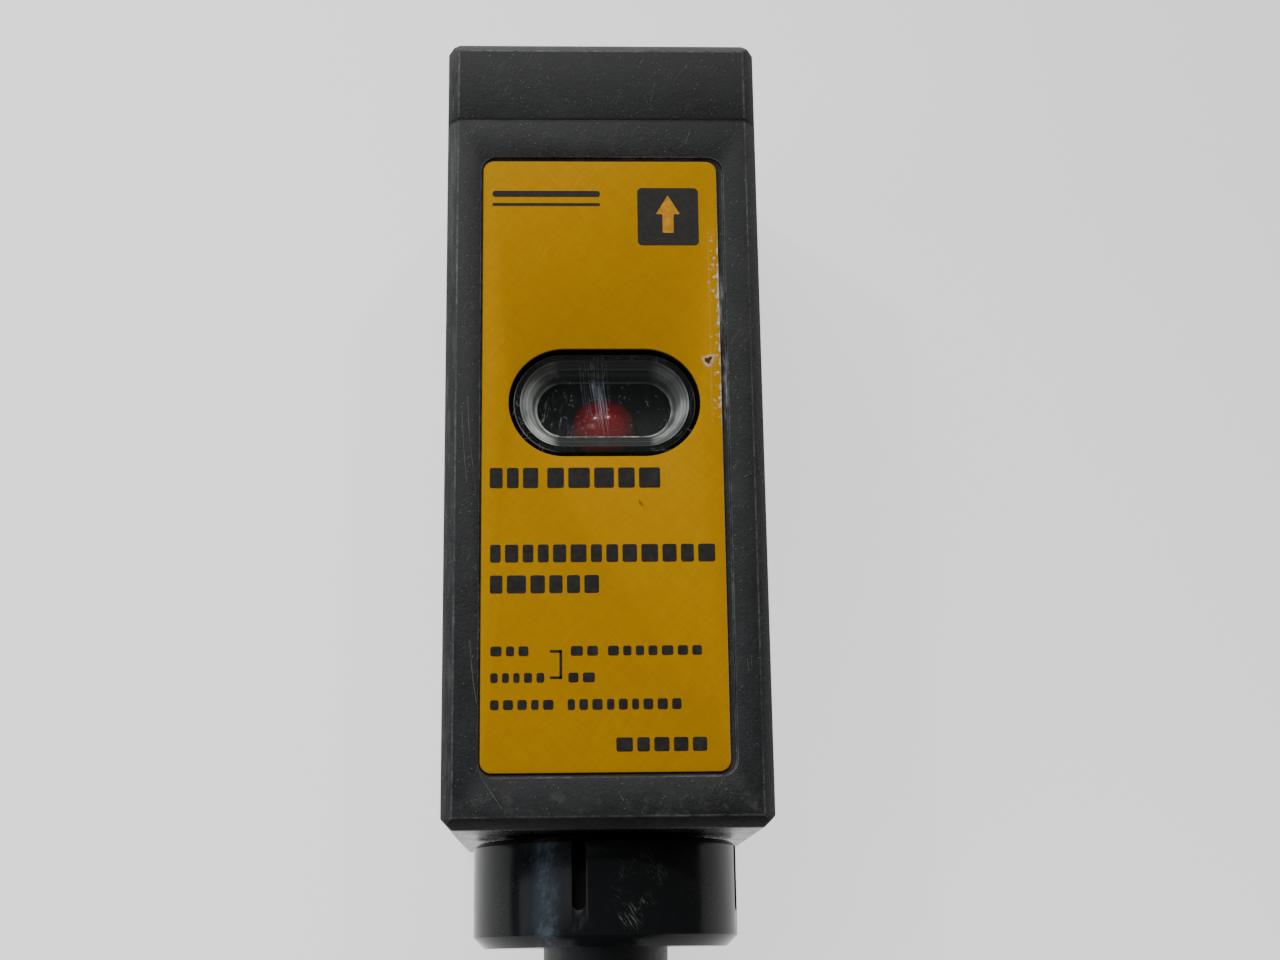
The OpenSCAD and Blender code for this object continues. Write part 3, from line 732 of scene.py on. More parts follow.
casePlastic = makeCasePlastic()
nutPlastic = makeNutPlastic()
bootRubber = makeRubber("bootRubber", (0.008, 0.008, 0.009), 0.55)
sealRubber = makeRubber("sealRubber", (0.006, 0.006, 0.006), 0.7)
jacketVinyl = makeRubber("jacketVinyl", (0.01, 0.01, 0.011), 0.5, 2600.0)
innerPlastic = makeRubber("innerPlastic", (0.007, 0.007, 0.008), 0.5)
wireVinyl = {"red": makeRubber("redVinyl", (0.38, 0.012, 0.01), 0.42),
             "black": makeRubber("blackVinyl", (0.008, 0.008, 0.009), 0.42),
             "white": makeRubber("whiteVinyl", (0.62, 0.6, 0.55), 0.42)}
sleeveSteel = makeMetal("sleeveSteel", (0.62, 0.61, 0.58), 0.3, 10)
washerSteel = makeMetal("washerSteel", (0.6, 0.6, 0.58), 0.32)
solderMetal = makeMetal("solderMetal", (0.75, 0.75, 0.73), 0.22)
labelAmber = makeLabelAmber()
labelInk = makeInk("labelInk", (0.0145, 0.0135, 0.0115))
arrowInk = makeInk("arrowInk", (0.46, 0.2, 0.0))
windowClear = makeWindowClear()
windowSlope = makeWindowSlope()
scratchWhite = makeScratch("scratchWhite", (0.12, 0.15, 0.2), (0.42, 0.46, 0.52))
scratchGrey = makeScratch("scratchGrey", (0.02, 0.02, 0.02), (0.22, 0.21, 0.19))
lampRed = makeEpoxy("lampRed", (0.62, 0.012, 0.018), 0.09, 0.25)
lensSmoke = makeEpoxy("lensSmoke", (0.02, 0.003, 0.006), 0.06, 0.0)
emitterEpoxy = makeEpoxy("emitterEpoxy", (0.05, 0.06, 0.13), 0.1, 0.0)
boardMask = makeBoardMask()
chipBlack = makeCeramic("chipBlack", (0.012, 0.012, 0.013), 0.5)
ceramicTan = makeCeramic("ceramicTan", (0.38, 0.25, 0.13), 0.4)
resistorBlack = makeCeramic("resistorBlack", (0.01, 0.01, 0.01), 0.3)
canSleeve = makeCeramic("canSleeve", (0.02, 0.025, 0.06), 0.3)
tieWeave = makeWeave()
print("materials made")


# cable, hank, tie and leads

cableValues = {
    "diameter": 5,
    "length": 2.0,  # m
    "route": [(0, -52.5, 12), (0, -57, 12), (0, -62, 11.6), (0, -67, 10.4), (-0.2, -72, 8.6),
              (-0.8, -77, 6.6), (-2, -82, 4.8), (-4, -87, 3.5), (-7, -92, 2.8), (-10.6, -97, 2.5),
              (-14.4, -102, 2.5), (-17.4, -107, 2.5), (-19.2, -112, 2.5)],
    "nearFold": -114,
    "farFold": -162,
    "outer": 20,
    "inner": 15,
    "layers": 5,
    "endAt": -150,
    "strapLift": 0.85,
    "squeeze": 0.18,  # how much less each layer rises under the strap
    "step": 3.2,
}


def hankPath():
    # laps round two folds, layer by layer; the near fold changes track or climbs to the next layer
    v = cableValues
    near, far, d, step = v["nearFold"], v["farFold"], v["diameter"], v["step"]
    middle = (near + far) / 2
    line = []

    def add(x, y, z, layer):
        rise = eased(1 - (abs(y - middle) - 6) / 12)
        line.append(Vector((x, y, z + rise * (v["strapLift"] - v["squeeze"] * layer))))

    def run(x, start, end, z, layer, ends=True):
        count = round(abs(end - start) / step)
        for i in range(count + (1 if ends else 0)):
            add(x, start + (end - start) * i / count, z, layer)

    def fold(centre, start, end, track, z, layer):
        count = round(math.pi * v["outer"] / step)
        for i in range(1, count):
            turn = start + (end - start) * i / count
            share = i / count
            r, height = track(share), z(share)
            add(r * math.cos(turn), centre + r * math.sin(turn), height, layer)

    tracks = []
    for layer in range(v["layers"]):
        pair = [(layer, "outer"), (layer, "inner")]
        tracks += pair if layer % 2 == 0 else pair[::-1]
    for (layer, track), after in zip(tracks, tracks[1:] + [None]):
        r, z = v[track], d / 2 + layer * d
        first = near - 2 if not line else near
        run(-r, first, far, z, layer)
        fold(far, math.pi, 2 * math.pi, lambda share: r, lambda share: z, layer)
        if after is None:
            run(r, far, v["endAt"], z, layer)
            break
        run(r, far, near, z, layer)
        newR, newZ = v[after[1]], d / 2 + after[0] * d
        fold(near, 0, math.pi, lambda share: r + (newR - r) * eased((share - 1 / 6) * 3),
             lambda share: z + (newZ - z) * eased(share * 3), layer)
    return line


tieValues = {"width": 9, "thick": 0.8, "corner": 3.4, "flapFrom": -18.6, "flapTo": -0.6}


def makeTie():
    # the strap's loop, then the flap pressed down over it
    v = tieValues
    low, high = boxOf("hank_tie")
    half, t = high.x - v["thick"] / 2, v["thick"]
    bottom, top = t / 2, cableValues["diameter"] * cableValues["layers"] + 0.1 + t / 2
    bm = bmesh.new()
    loop = roundedLoop(bm, 2 * half, top - bottom, v["corner"], 0, 64, (0, 0))
    uv = bm.loops.layers.uv.new("strap")
    bmesh.ops.extrude_edge_only(bm, edges=edgesOf(loop))
    bm.verts.ensure_lookup_table()
    for vert in bm.verts:
        if vert not in set(loop):
            vert.co.z = v["width"]
    flapEnds = [(v["flapFrom"], 0.0), (v["flapFrom"] + 1.6, t * 0.95), (v["flapTo"] - 1.6, t * 0.95),
                (v["flapTo"], t * 0.35)]
    lift = (top - bottom) / 2
    rail = []
    for a, b in zip(flapEnds, flapEnds[1:]):
        for k in range(8):
            s = k / 8
            rail.append((a[0] + (b[0] - a[0]) * s, lift + a[1] + (b[1] - a[1]) * eased(s)))
    rail.append((flapEnds[-1][0], lift + flapEnds[-1][1]))
    verts = [bm.verts.new((x, y, 0.15)) for x, y in rail]
    made = bmesh.ops.extrude_edge_only(bm, edges=[bm.edges.new(pair) for pair in zip(verts, verts[1:])])
    for vert in vertsIn(made):
        vert.co.z = v["width"] - 0.15
    bmesh.ops.subdivide_edges(bm, edges=[e for e in bm.edges if abs(e.verts[0].co.z - e.verts[1].co.z) > 5],
                              cuts=9, use_grid_fill=True)
    for face in bm.faces:
        for corner in face.loops:
            co = corner.vert.co
            corner[uv].uv = ((co.x + co.y) * 1.6, co.z * 1.8)
    bmesh.ops.recalc_face_normals(bm, faces=bm.faces)
    turn = Matrix.Translation((0, (low.y + high.y) / 2 + v["width"] / 2, (top + bottom) / 2))
    bmesh.ops.transform(bm, matrix=turn @ turnBy(90, "X"), verts=bm.verts)
    piece = newPiece("hankTie", bm, tieWeave, slot="tie_fabric", replaces=["hank_tie"])
    thick = piece.modifiers.new("thick", "SOLIDIFY")
    thick.thickness = t * mm
    thick.offset = 0
    soft = piece.modifiers.new("soft", "BEVEL")
    soft.width = 0.15 * mm
    soft.segments = 2
    return piece


leadValues = {
    "diameter": 1.3,
    "strandCircle": 0.29,
    "strand": 0.15,
    "bare": 5,
    "inside": 0.4,  # how far the strands start inside the insulation
    "twist": 1.2,  # turns over the bare end
    "paths": {
        "red": [(13.9, -150, 22.2), (13.9, -148, 22.2), (13.6, -141, 20.9),
                (13.3, -134, 20.7), (13.3, -123, 20.7)],
        "black": [(15, -150, 23.6), (15, -148, 23.6), (15, -141, 21.6),
                  (14.9, -133, 20.7), (14.8, -120, 20.7)],
        "white": [(16.1, -150, 22.2), (16.1, -148, 22.2), (16.4, -141, 20.9),
                  (16.6, -134, 20.7), (16.5, -124, 20.7)],
    },
}


def makeLead(colour):
    # one insulated lead, and the twisted tinned strands at its end
    v = leadValues
    line = smoothPath([Vector(p) for p in v["paths"][colour]])
    title = colour.capitalize()
    lead = newCurve("lead" + title, [line], v["diameter"] / 2, wireVinyl[colour], resolution=4,
                    slot="wire_" + colour, replaces=["lead_" + colour])
    strands = []
    for i, r in [(0, 0)] + [(i, v["strandCircle"]) for i in range(6)]:
        strand = []
        for k in range(13):
            turn = 2 * math.pi * (i / 6 + v["twist"] * k / 12)
            forward = v["bare"] * k / 12 - v["inside"]
            strand.append(line[-1] + Vector((r * math.cos(turn), forward, r * math.sin(turn))))
        strands.append(strand)
    bare = newCurve("strands" + title, strands, v["strand"], solderMetal, resolution=2, slot="solder")
    return [lead, bare]


def makeCable():
    v = cableValues
    line = smoothPath([Vector(p) for p in v["route"]], 4) + hankPath()
    cable = newCurve("cableRun", [line], v["diameter"] / 2, jacketVinyl, slot="cable_jacket",
                     replaces=["cable", "cable_hank"])
    onIt = [makeTie()]
    for colour in ("red", "black", "white"):
        onIt += makeLead(colour)


makeCable()
print("cable, tie and leads made")


# floor and lights

lightValues = {
    "floorSize": 6.0,  # m
    "room": (0.13, 0.133, 0.137),
    "softbox": (3.0, 3.0, 2.97),
    "softboxFrom": (-0.25, 0.8, 0.52),  # the direction of the soft light, beyond the lens end
    "softboxSpread": (0.7, 0.95),
    "paper": (0.56, 0.56, 0.557),
    "paperGlow": (1.06, 1.06, 1.055),  # the backdrop is lit from behind, so shadows stay faint
    "cornerGlow": 0.68,  # painted shade: the glow is darker toward the far right
    "aim": (0, 0, 15),
    # place (mm), size (mm), power (W), colour, round
    "lights": [
        ("leftWindow", (-420, -40, 330), (150, 520), 0.5, (0.78, 0.88, 1.0), False),
        ("glintLeft", (-230, 200, 420), (22, 22), 0.32, (1.0, 0.98, 0.95), True),
        ("glintRight", (150, 230, 460), (22, 22), 0.43, (1.0, 0.98, 0.95), True),
    ],
}


def makeFloor():
    # plain pale paper, barely mottled
    v = lightValues
    material, place = newMaterial("floorPaper", **{"Roughness": 0.9, "Emission Strength": 1.0})
    paler = tuple(c * 1.04 for c in v["paper"])
    axes = axesOf(place)
    # painted shade: the glow falls off toward the far right corner
    corner = ramp(plus(axes["X"], times(axes["Y"], 0.6)), -0.02, 0.09)
    glow = mixed(corner, (*v["paperGlow"], 1), (*(c * v["cornerGlow"] for c in v["paperGlow"]), 1))
    mottled = mixed(noiseOf(place, 9.0, 3.0), (*v["paper"], 1), (*paler, 1))
    finished(material, mottled, **{"Emission Color": glow})
    bm = bmesh.new()
    bmesh.ops.create_grid(bm, x_segments=8, y_segments=8, size=v["floorSize"] / 2)
    floor = linked("floor", meshOf("floor", bm))
    floor.data.materials.append(material)
    floor.location.z = -0.0001


def makeLights():
    v = lightValues
    world = bpy.data.worlds.new("softWorld")
    world.use_nodes = True
    tree = world.node_tree
    around = tree.nodes.new("ShaderNodeTexCoord").outputs["Generated"]
    facing = put("VectorMath", {0: around, 1: Vector(v["softboxFrom"]).normalized()},
                 operation="DOT_PRODUCT")["Value"]
    sky = mixed(ramp(facing, *v["softboxSpread"]), (*v["room"], 1), (*v["softbox"], 1))
    tree.links.new(sky, tree.nodes["Background"].inputs["Color"])
    bpy.context.scene.world = world
    for name, place, size, power, colour, isRound in v["lights"]:
        data = bpy.data.lights.new(name, "AREA")
        data.shape = "DISK" if isRound else "RECTANGLE"
        data.size = size[0] * mm
        if not isRound:
            data.size_y = size[1] * mm
        data.energy = power
        data.color = colour
        light = linked(name, data)
        light.location = Vector(place) * mm
        toward = (Vector(v["aim"]) - Vector(place)).normalized()
        light.rotation_euler = toward.to_track_quat("-Z", "Y").to_euler()


makeFloor()
makeLights()
print("floor and lights made")


# body

capLow, capHigh = boxOf("lens_cap")
sleeveLow, sleeveHigh = boxOf("mounting_sleeves")
plateLow, plateHigh = boxOf("nameplate")
midZ = (capLow.z + capHigh.z) / 2
bodyLow = -capHigh.y  # the cable end of the body

bodyValues = {"edgeRound": 0.085, "seamRound": 0.17, "insideDepth": 1.2}


def onSkin(co):
    # true near the outside of the body, away from the neck
    depth = bodyValues["insideDepth"]
    inX = abs(co.x) < capHigh.x - depth
    inY = bodyLow + depth < co.y < capHigh.y - depth
    inZ = depth < co.z < capHigh.z - depth
    return not (inX and inY and inZ) and co.y > bodyLow - 0.05


def onSeam(co):
    return abs(co.y - seamY) < 0.01


def darkenSeam(bm):
    # the seam's rounded edges hold dirt, so they are marked for it
    seamLineAndShade = maskOf(bm, "seamLineAndShade")
    edge = maskOf(bm, "edge")
    for face in bm.faces:
        if abs(face.calc_center_median().y - seamY) < bodyValues["seamRound"] and face[edge] > 0:
            face[seamLineAndShade] = 1
            face[edge] = 0


def markLedge(bm):
    # the sunk floor round the label
    ledge = maskOf(bm, "ledge")
    for face in bm.faces:
        c = face.calc_center_median()
        sunk = abs(c.z - plateLow.z) < 0.25 and abs(face.normal.z) > 0.3 and c.z < caseHigh.z - 0.02
        if sunk and abs(c.x) < plateHigh.x + 0.7:
            face[ledge] = 1


def makeShell(name, node, slot):
    v = bodyValues
    bm = copyOf(node)
    maskOf(bm, "seamLineAndShade")
    maskOf(bm, "ledge")
    softenEdges(bm, v["edgeRound"], where=lambda co: onSkin(co) and not onSeam(co))
    softenEdges(bm, v["seamRound"], angle=60, where=lambda co: onSeam(co) and onSkin(co))
    darkenSeam(bm)
    markLedge(bm)
    return newPiece(name, bm, casePlastic, slot=slot, replaces=[node])


makeShell("caseShell", "case", "case_plastic")
makeShell("capShell", "lens_cap", "case_plastic")
print("body made")


# single scratches on the body

bodyScratches = {
    "radius": 0.011,
    "lines": [
        [(-8.55, 1.2, 0), (-8.4, -1.4, 0), (-8.05, -4.4, 0), (-7.95, -5.6, 0)],
        [(-8.9, 0.2, 0), (-8.75, -2.2, 0), (-8.55, -4.4, 0)],
        [(-8.3, -14.2, 0), (-8.1, -16.4, 0), (-7.85, -18.0, 0)],
        [(-7.8, -21.6, 0), (-7.5, -22.5, 0), (-6.9, -23.4, 0), (-6.3, -24.3, 0)],
        [(-6.15, -23.2, 0), (-6.1, -24.2, 0), (-6.2, -24.7, 0)],
        [(8.7, -15.2, 0), (8.75, -15.9, 0)], [(8.5, -15.4, 0), (8.55, -16.3, 0)],
        [(3.1, 20.9, 0), (3.5, 22.6, 0)], [(5.4, 18.2, 0), (5.7, 19.1, 0)], [(5.1, 18.0, 0), (5.3, 18.6, 0)],
        [(0.6, -23.3, 0), (0.9, -23.9, 0)], [(-1.4, 18.9, 0), (-0.9, 19.3, 0)],
    ],
}


def makeBodyScratches():
    v = bodyScratches
    top = Vector((0, 0, caseHigh.z))
    lines = [smoothPath([Vector(point) + top for point in line], 5) for line in v["lines"]]
    newCurve("bodyScratches", lines, v["radius"], scratchGrey, resolution=1, slot="case_plastic")


makeBodyScratches()
print("scratches made")


# label and its print

printValues = {
    "thick": 0.012,
    "arrowThick": 0.02,
    "corner": 0.14,
    "gap": 0.26,
    # plain bars: centre x, centre y, width, height
    "bars": [(-3.62, 14.75, 6.9, 0.42), (-3.62, 14.02, 6.9, 0.2)],
    # rows of plain blocks: left, right, centre y, height, how many
    "rows": [(-7.15, -4.15, -4.08, 1.3, 3), (-3.6, 3.4, -4.08, 1.3, 5),
             (-7.1, 6.7, -8.85, 1.12, 13), (-7.1, -0.45, -10.77, 1.12, 6),
             (-7.05, -4.75, -14.88, 0.6, 3), (-2.2, -0.55, -14.88, 0.6, 2), (0.05, 5.75, -14.88, 0.6, 7),
             (-7.05, -3.8, -16.5, 0.6, 5), (-2.35, -0.75, -16.5, 0.6, 2),
             (-7.05, -3.25, -18.13, 0.6, 5), (-2.4, 4.45, -18.13, 0.66, 9), (0.5, 5.95, -20.55, 0.85, 5)],
    "bracket": [(-3.1, -14.9, 0.72, 0.17), (-3.1, -16.5, 0.72, 0.17), (-2.8, -15.7, 0.17, 1.77)],
    "icon": (4.18, 13.2, 3.92, 3.93),
    "iconCorner": 0.3,
    "arrow": {"tip": 14.66, "neck": 13.36, "tail": 12.09, "head": 0.77, "shaft": 0.355},
}


def makeLabel():
    bm = copyOf("nameplate")
    softenEdges(bm, 0.035, angle=50, segments=2, mark=0.0)
    newPiece("labelPlate", bm, labelAmber, slot="label_amber", replaces=["nameplate"])


def makePrint():
    # plain bars, rows of plain blocks, a bracket and a square, printed a hair above the foil
    v = printValues
    low = plateHigh.z - 0.002
    high = plateHigh.z + v["thick"]
    bm = newMesh()
    for left, right, y, height, count in v["rows"]:
        shares = [random.uniform(0.75, 1.25) for _ in range(count)]
        unit = (right - left - v["gap"] * (count - 1)) / sum(shares)
        x = left
        for share in shares:
            plate(bm, share * unit, height, v["corner"], low, high, (x + share * unit / 2, y), 16)
            x += share * unit + v["gap"]
    for x, y, width, height in v["bars"]:
        plate(bm, width, height, height * 0.45, low, high, (x, y), 16)
    for x, y, width, height in v["bracket"]:
        plate(bm, width, height, 0.05, low, high, (x, y), 8)
    x, y, width, height = v["icon"]
    plate(bm, width, height, v["iconCorner"], low, high, (x, y), 32)
    bmesh.ops.recalc_face_normals(bm, faces=bm.faces)
    newPiece("labelPrint", bm, labelInk, slot="label_amber")


def makeArrow():
    a = printValues["arrow"]
    x = printValues["icon"][0]
    half = [(0, a["tip"]), (a["head"], a["neck"]), (a["shaft"], a["neck"]), (a["shaft"], a["tail"])]
    outline = half + [(-px, py) for px, py in reversed(half[1:])]
    bm = newMesh()
    verts = [bm.verts.new((x + px, py, plateHigh.z + printValues["thick"] - 0.002)) for px, py in outline]
    rim = [bm.edges.new(pair) for pair in zip(verts, verts[1:] + verts[:1])]
    made = bmesh.ops.extrude_face_region(bm, geom=bmesh.ops.contextual_create(bm, geom=rim)["faces"])
    top = vertsIn(made)
    bmesh.ops.translate(bm, verts=top, vec=(0, 0, printValues["arrowThick"] - printValues["thick"] + 0.002))
    corners = [e for e in bm.edges if abs(e.verts[0].co.z - e.verts[1].co.z) > 0.001]
    bmesh.ops.bevel(bm, geom=corners, offset=0.07, affect="EDGES", segments=3, profile=0.5, material=-1)
    bmesh.ops.recalc_face_normals(bm, faces=bm.faces)
    newPiece("arrowMark", bm, arrowInk, slot="label_amber")


makeLabel()
makePrint()
makeArrow()
print("label made")


# window, gasket and lamp

windowValues = {
    "plug": (11.4, 6.4),
    "flange": 1.0,
    # how far in from the plug's edge, and how far below the rim, each step of the face lies
    "outer": [(0.0, 0.1), (0.05, 0.0)],
    "face": [(0.4, 0.0), (0.44, 0.05), (0.82, 0.5), (0.9, 0.58), (1.34, 1.4), (1.46, 1.55), (1.62, 1.6)],
    "slopeFrom": 0,
    "slopeTo": 6,
    "segments": 96,
}


def makeWindow():
    # a clear plug with a flange under the wall; its face is hollowed in two sloping steps
    v = windowValues
    width, height = v["plug"]
    bm = newMesh()

    def slotLoop(inset, z, grow=0.0, filled=False):
        w, h = width - 2 * inset + grow, height - 2 * inset + grow
        return roundedLoop(bm, w, h, h / 2, z, v["segments"], (0, windowY), filled)

    wide = windowHigh.x - windowLow.x - width
    seat = windowLow.z + v["flange"]
    loops = [slotLoop(0, windowLow.z, wide, True), slotLoop(0, seat, wide), slotLoop(0, seat)]
    loops += [slotLoop(inset, windowHigh.z - drop) for inset, drop in v["outer"]]
    hollow = [slotLoop(inset, windowHigh.z - drop) for inset, drop in v["face"][:-1]]
    last = v["face"][-1]
    hollow.append(slotLoop(last[0], windowHigh.z - last[1], filled=True))
    bridged(bm, loops + hollow)
    bmesh.ops.recalc_face_normals(bm, faces=bm.faces)
    slopes = [windowHigh.z - v["face"][k][1] for k in (v["slopeFrom"], v["slopeTo"])]
    bm.normal_update()
    for face in bm.faces:
        c = face.calc_center_median()
        if slopes[1] < c.z < slopes[0] and 0.1 < face.normal.z < 0.95:
            face.material_index = 1
    newPiece("windowInsert", bm, windowClear, windowSlope, slot="window_clear", replaces=["window"])


def hollowAt(x, y):
    # height of the window's face at a point
    v = windowValues
    width, height = v["plug"]
    away = math.hypot(max(abs(x) - (width - height) / 2, 0), y - windowY)
    inset = height / 2 - away
    steps = v["face"]
    for (a, dropA), (b, dropB) in zip(steps, steps[1:]):
        if inset < b:
            share = max(inset - a, 0) / (b - a)
            return windowHigh.z - dropA - (dropB - dropA) * share
    return windowHigh.z - steps[-1][1]


scratchValues = {
    "core": (44, -0.9, 0.0),  # how many, and the x range at their upper ends
    "halo": (26, -1.6, 0.15),
    "top": 3.55,
    "coreLength": (1.6, 3.5),
    "haloLength": (0.6, 2.4),
    "width": (0.005, 0.014),
    "lean": 0.13,
    "strays": 90,
    "lint": 22,
}


def makeScratches():
    # a bundle of long scratches down the window's hollow, short strays, and lint on its lower rim
    v = scratchValues
    bm = newMesh()

    def hair(x, y, length, width, heading, bend=0.0):
        made = bmesh.ops.create_grid(bm, x_segments=1, y_segments=14, size=0.5)
        for vert in made["verts"]:
            s = 0.5 - vert.co.y
            side = vert.co.x * width * (0.2 + 0.8 * math.sin(math.pi * min(max(s, 0.03), 0.97)))
            turn = heading + bend * s
            px = x + length * s * math.sin(turn) + side * math.cos(turn)
            py = y - length * s * math.cos(turn) + side * math.sin(turn)
            vert.co = (px, py, hollowAt(px, py) + 0.006)

    for count, left, right, lengths in ((*v["core"], v["coreLength"]), (*v["halo"], v["haloLength"])):
        for _ in range(count):
            length = random.uniform(*lengths)
            y = v["top"] - random.random() ** 2 * 1.6
            hair(random.uniform(left, right), y, length, random.uniform(*v["width"]),
                 v["lean"] + random.uniform(-0.02, 0.02))
    for _ in range(v["strays"]):
        x = random.uniform(-4.2, 4.2)
        y = windowY + random.uniform(-1.8, 2.0)
        hair(x, y, random.uniform(0.04, 0.22), 0.018, random.uniform(-1.2, 1.2))
    for _ in range(v["lint"]):
        around = math.radians(random.uniform(165, 330))
        x = math.copysign(2.5, math.cos(around)) + 3.0 * math.cos(around)
        y = windowY + 3.0 * math.sin(around)
        hair(x, y, random.uniform(0.25, 0.8), 0.012, random.uniform(-1.5, 1.5), random.uniform(-1.2, 1.2))
    newPiece("windowScratches", bm, scratchWhite, slot="window_clear")


lampLow, lampHigh = boxOf("indicator_lamp")
lampValues = {"radius": 2.1, "flange": 2.3, "flangeThick": 0.7, "height": 5.2, "pin": 0.25, "pinAt": 1.27}


def makeLamp():
    v = lampValues
    base = lampHigh.z - v["height"]
    r, flange, thick = v["radius"], v["flange"], v["flangeThick"]
    arc = [(r * math.cos(math.radians(a)), v["height"] - r + r * math.sin(math.radians(a)))
           for a in range(0, 90, 6)]
    outline = [(0, 0), (flange - 0.08, 0), (flange, 0.08), (flange, thick - 0.1), (flange - 0.1, thick),
               (r, thick), *arc, (0, v["height"])]
    bm = turned(outline, 72, Matrix.Translation((0, windowY, base)))
    newPiece("lampDome", bm, lampRed, slot="lamp_red", replaces=["indicator_lamp"])
    pins = newMesh()
    long = base - lampLow.z
    for x in (-v["pinAt"], v["pinAt"]):
        turned([(0, 0), (v["pin"], 0), (v["pin"], long), (0, long)], 16,
               Matrix.Translation((x, windowY, lampLow.z)), pins)
    newPiece("lampPins", pins, solderMetal, slot="solder")


makeWindow()
makeScratches()
makeLamp()
print("window and lamp made")


# gland

nutLow, nutHigh = boxOf("gland_nut")
washerLow, washerHigh = boxOf("gland_washer")
bootLow, bootHigh = boxOf("cable_bushing")

nutValues = {
    "bore": 7.1, "hole": 4.3, "endWall": 1.7, "nearChamfer": 0.3, "farChamfer": 0.7,
    "groove": (0.88, 4.4, 0.95),  # width, length and depth
    "firstAt": 12,  # degrees the first groove is turned from the label side
    "steps": 144, "round": 0.07,
}


def cutWith(blank, cutter):
    # what is left of the blank when the cutter's shape is taken away
    cut = blank.modifiers.new("cut", "BOOLEAN")
    cut.object = cutter
    cut.solver = "EXACT"
    depsgraph = bpy.context.evaluated_depsgraph_get()
    bm = newMesh()
    bm.from_mesh(bpy.data.meshes.new_from_object(blank.evaluated_get(depsgraph)))
    bpy.data.objects.remove(blank)
    bpy.data.objects.remove(cutter)
    return bm


def makeNut():
    v = nutValues
    outer, length = nutHigh.x, nutHigh.y - nutLow.y
    step = length - v["endWall"]
    bm = turned([(v["bore"], 0), (outer - v["nearChamfer"], 0), (outer, v["nearChamfer"]),
                 (outer, length - v["farChamfer"]), (outer - v["farChamfer"], length), (v["hole"], length),
                 (v["hole"], step), (v["bore"], step)], v["steps"])
    cutter = bmesh.new()
    width, deep, depth = v["groove"]
    for turn in range(4):
        made = roundedLoop(cutter, width, 2 * deep, width / 2 - 0.001, 0, 48, filled=True)
        face = [f for f in cutter.faces if f.verts[0] in set(made)]
        top = vertsIn(bmesh.ops.extrude_face_region(cutter, geom=face))
        bmesh.ops.translate(cutter, verts=top, vec=(0, 0, 2))
        spot = (turnBy(turn * 90 + v["firstAt"], "Z")
                @ Matrix.Translation((0, outer - depth, 0)) @ turnBy(-90, "X"))
        bmesh.ops.transform(cutter, matrix=spot, verts=made + top)
    bmesh.ops.recalc_face_normals(cutter, faces=cutter.faces)
    blank = linked("nutBlank", meshOf("nutBlank", bm))
    bm = cutWith(blank, linked("nutCutter", meshOf("nutCutter", cutter)))
    edge = maskOf(bm, "edge")
    seamLineAndShade = maskOf(bm, "seamLineAndShade")
    bmesh.ops.remove_doubles(bm, verts=bm.verts, dist=0.002)
    softenEdges(bm, v["round"], angle=30, segments=2)
    # painted shade: the faces inside the grooves are marked to be drawn near black and rough
    for face in bm.faces:
        c = face.calc_center_median()
        inGroove = v["bore"] + 0.1 < math.hypot(c.x, c.y) < outer - 0.12
        if inGroove and 0.05 < c.z < deep + 0.1 and abs(face.normal.z) < 0.6:
            face[seamLineAndShade] = 1
            face[edge] = 0
    bmesh.ops.transform(bm, matrix=onAxis(nutHigh.y, 90), verts=bm.verts)
    newPiece("glandNut", bm, nutPlastic, body="gland_nut", slot="nut_plastic", replaces=["gland_nut"])


def makeWasher():
    outer, thick = washerHigh.x, washerHigh.y - washerLow.y
    bm = turned([(nutValues["hole"], 0), (outer, 0), (outer, thick), (nutValues["hole"], thick)], 96,
                onAxis(washerHigh.y, 90))
    softenEdges(bm, 0.06, angle=50)
    newPiece("glandWasher", bm, washerSteel, body="gland_washer", slot="washer_steel",
             replaces=["gland_washer"])


bootValues = {
    "cable": 2.5, "radius": 4.0, "endRadius": 3.1, "taper": 15.5, "reliefs": 6, "reliefWidth": 1.0,
    "reliefDepth": 0.6, "flange": 0.8, "plugRadius": 5.2, "plugLength": 5, "tip": 2,
}


def makeBoot():
    # rubber plug inside the neck, then the boot with relief grooves along its taper
    v = bootValues
    start = -bootLow.y + washerHigh.y - v["taper"]
    pitch = (v["taper"] - v["tip"]) / v["reliefs"]
    back = -v["flange"] - v["plugLength"]

    def radius(z):
        return v["radius"] + (v["endRadius"] - v["radius"]) * z / v["taper"]

    cable, plug, flange = v["cable"], v["plugRadius"], v["flange"]
    outline = [(cable, back), (plug - 0.9, back), (plug - 0.1, back + 1), (plug - 0.1, -flange),
               (bootHigh.x, -flange), (bootHigh.x, 0), (v["radius"], 0)]
    for i in range(v["reliefs"]):
        a = 1 + i * pitch
        b = a + v["reliefWidth"]
        outline += [(radius(a), start + a), (radius(a) - v["reliefDepth"], start + a + 0.12),
                    (radius(b) - v["reliefDepth"], start + b - 0.12), (radius(b), start + b)]
    outline += [(v["endRadius"], start + v["taper"]), (cable, start + v["taper"])]
    bm = turned(outline, 80, onAxis(washerHigh.y, 90))
    softenEdges(bm, 0.12, angle=40)
    newPiece("cableBoot", bm, bootRubber, slot="boot_rubber", replaces=["cable_bushing"])


makeNut()
makeWasher()
makeBoot()
print("gland made")


# lens end and mounting sleeves

lensLow, lensHigh = boxOf("lens")
lensValues = {"rim": 6.7, "rimThick": 1.2, "face": 5.9, "curve": 12}
sleeveWall = 0.6


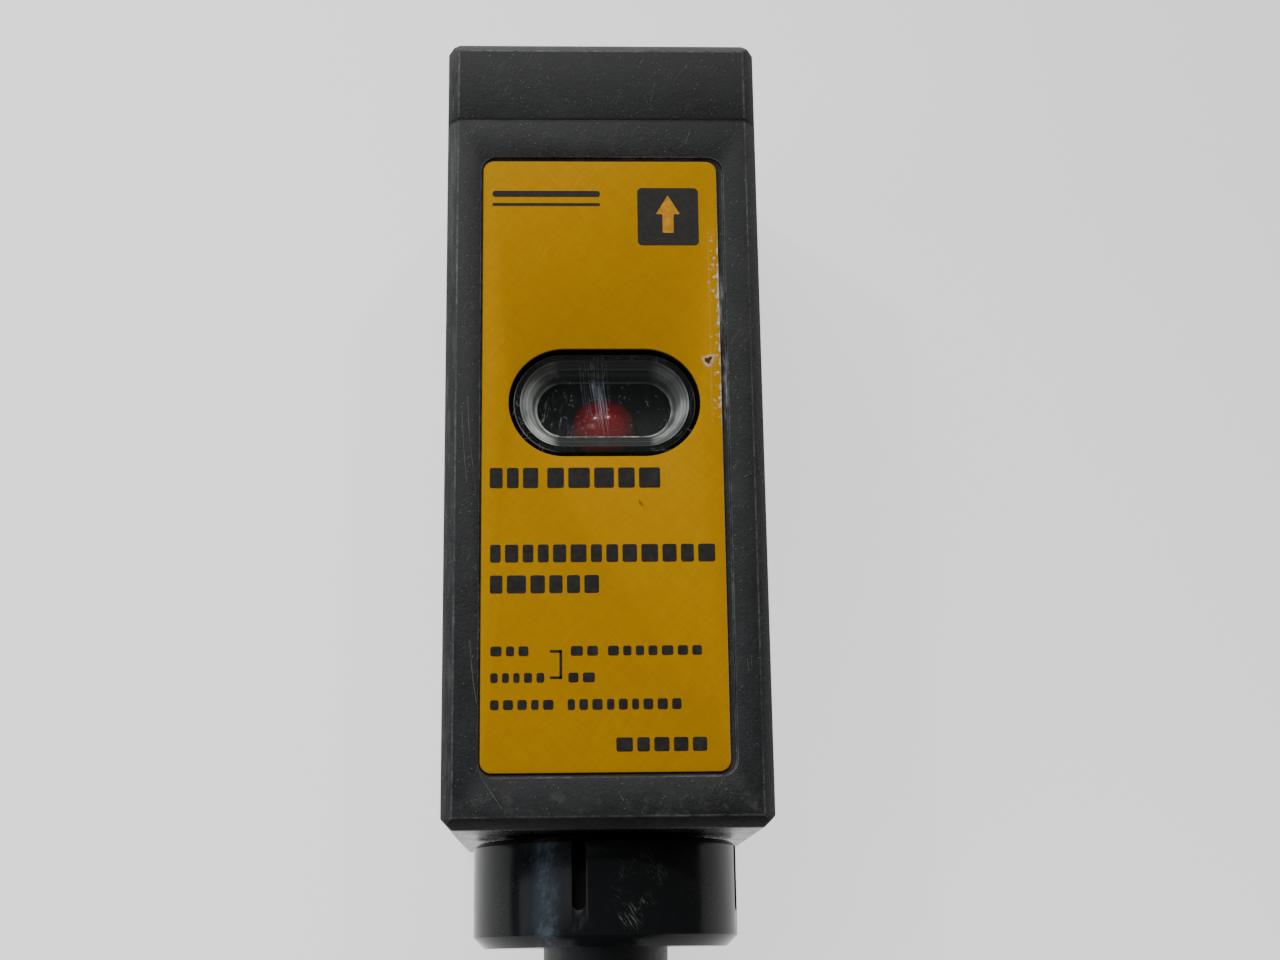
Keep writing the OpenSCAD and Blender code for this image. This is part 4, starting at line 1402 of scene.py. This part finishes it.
def makeLens():
    # shallow dome with a rim behind the end wall
    v = lensValues
    depth = lensHigh.y - lensLow.y
    steps = 16
    widest = math.asin(v["face"] / v["curve"])
    angles = [widest * (1 - k / steps) for k in range(steps + 1)]
    arc = [(v["curve"] * math.sin(a), depth - v["curve"] * (1 - math.cos(a))) for a in angles]
    bm = turned([(0, 0), (v["rim"], 0), (v["rim"], v["rimThick"]), (v["face"], v["rimThick"]), *arc], 96,
                onAxis(lensLow.y, -90))
    softenEdges(bm, 0.08, angle=60)
    newPiece("lensDome", bm, lensSmoke, slot="lens_smoke", replaces=["lens"])


def makeSleeves():
    outer = (sleeveHigh.z - sleeveLow.z) / 2
    inner = outer - sleeveWall
    long = sleeveHigh.x - sleeveLow.x
    across = turnBy(90, "Y")
    bm = newMesh()
    for y in (sleeveLow.y + outer, sleeveHigh.y - outer):
        place = Matrix.Translation((sleeveLow.x, y, sleeveLow.z + outer)) @ across
        turned([(inner, 0), (outer, 0), (outer, long), (inner, long)], 64, place, bm)
    softenEdges(bm, 0.1, angle=60, segments=3)
    newPiece("mountSleeves", bm, sleeveSteel, slot="sleeve_steel", replaces=["mounting_sleeves"])


makeLens()
makeSleeves()
print("lens and sleeves made")


# inside

insideFinish = {
    "cap_seal": sealRubber, "lens_gasket": sealRubber, "window_gasket": sealRubber,
    "emitter_holder": innerPlastic, "lamp_spacer": innerPlastic, "infrared_emitter": emitterEpoxy,
    "main_board": boardMask, "driver_chip": chipBlack, "output_transistor": chipBlack,
    "protection_diodes": chipBlack, "smoothing_capacitor": canSleeve, "ceramic_capacitors": ceramicTan,
    "resistors": resistorBlack, "solder_joints": solderMetal, "cable_core": jacketVinyl,
    "wire_red": wireVinyl["red"], "wire_black": wireVinyl["black"], "wire_white": wireVinyl["white"],
}


def finishInside():
    for name, material in insideFinish.items():
        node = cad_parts[name]
        if not node.data.materials:
            node.data.materials.append(material)
        for k in range(len(node.data.materials)):
            node.data.materials[k] = material


finishInside()
print("inside finished")
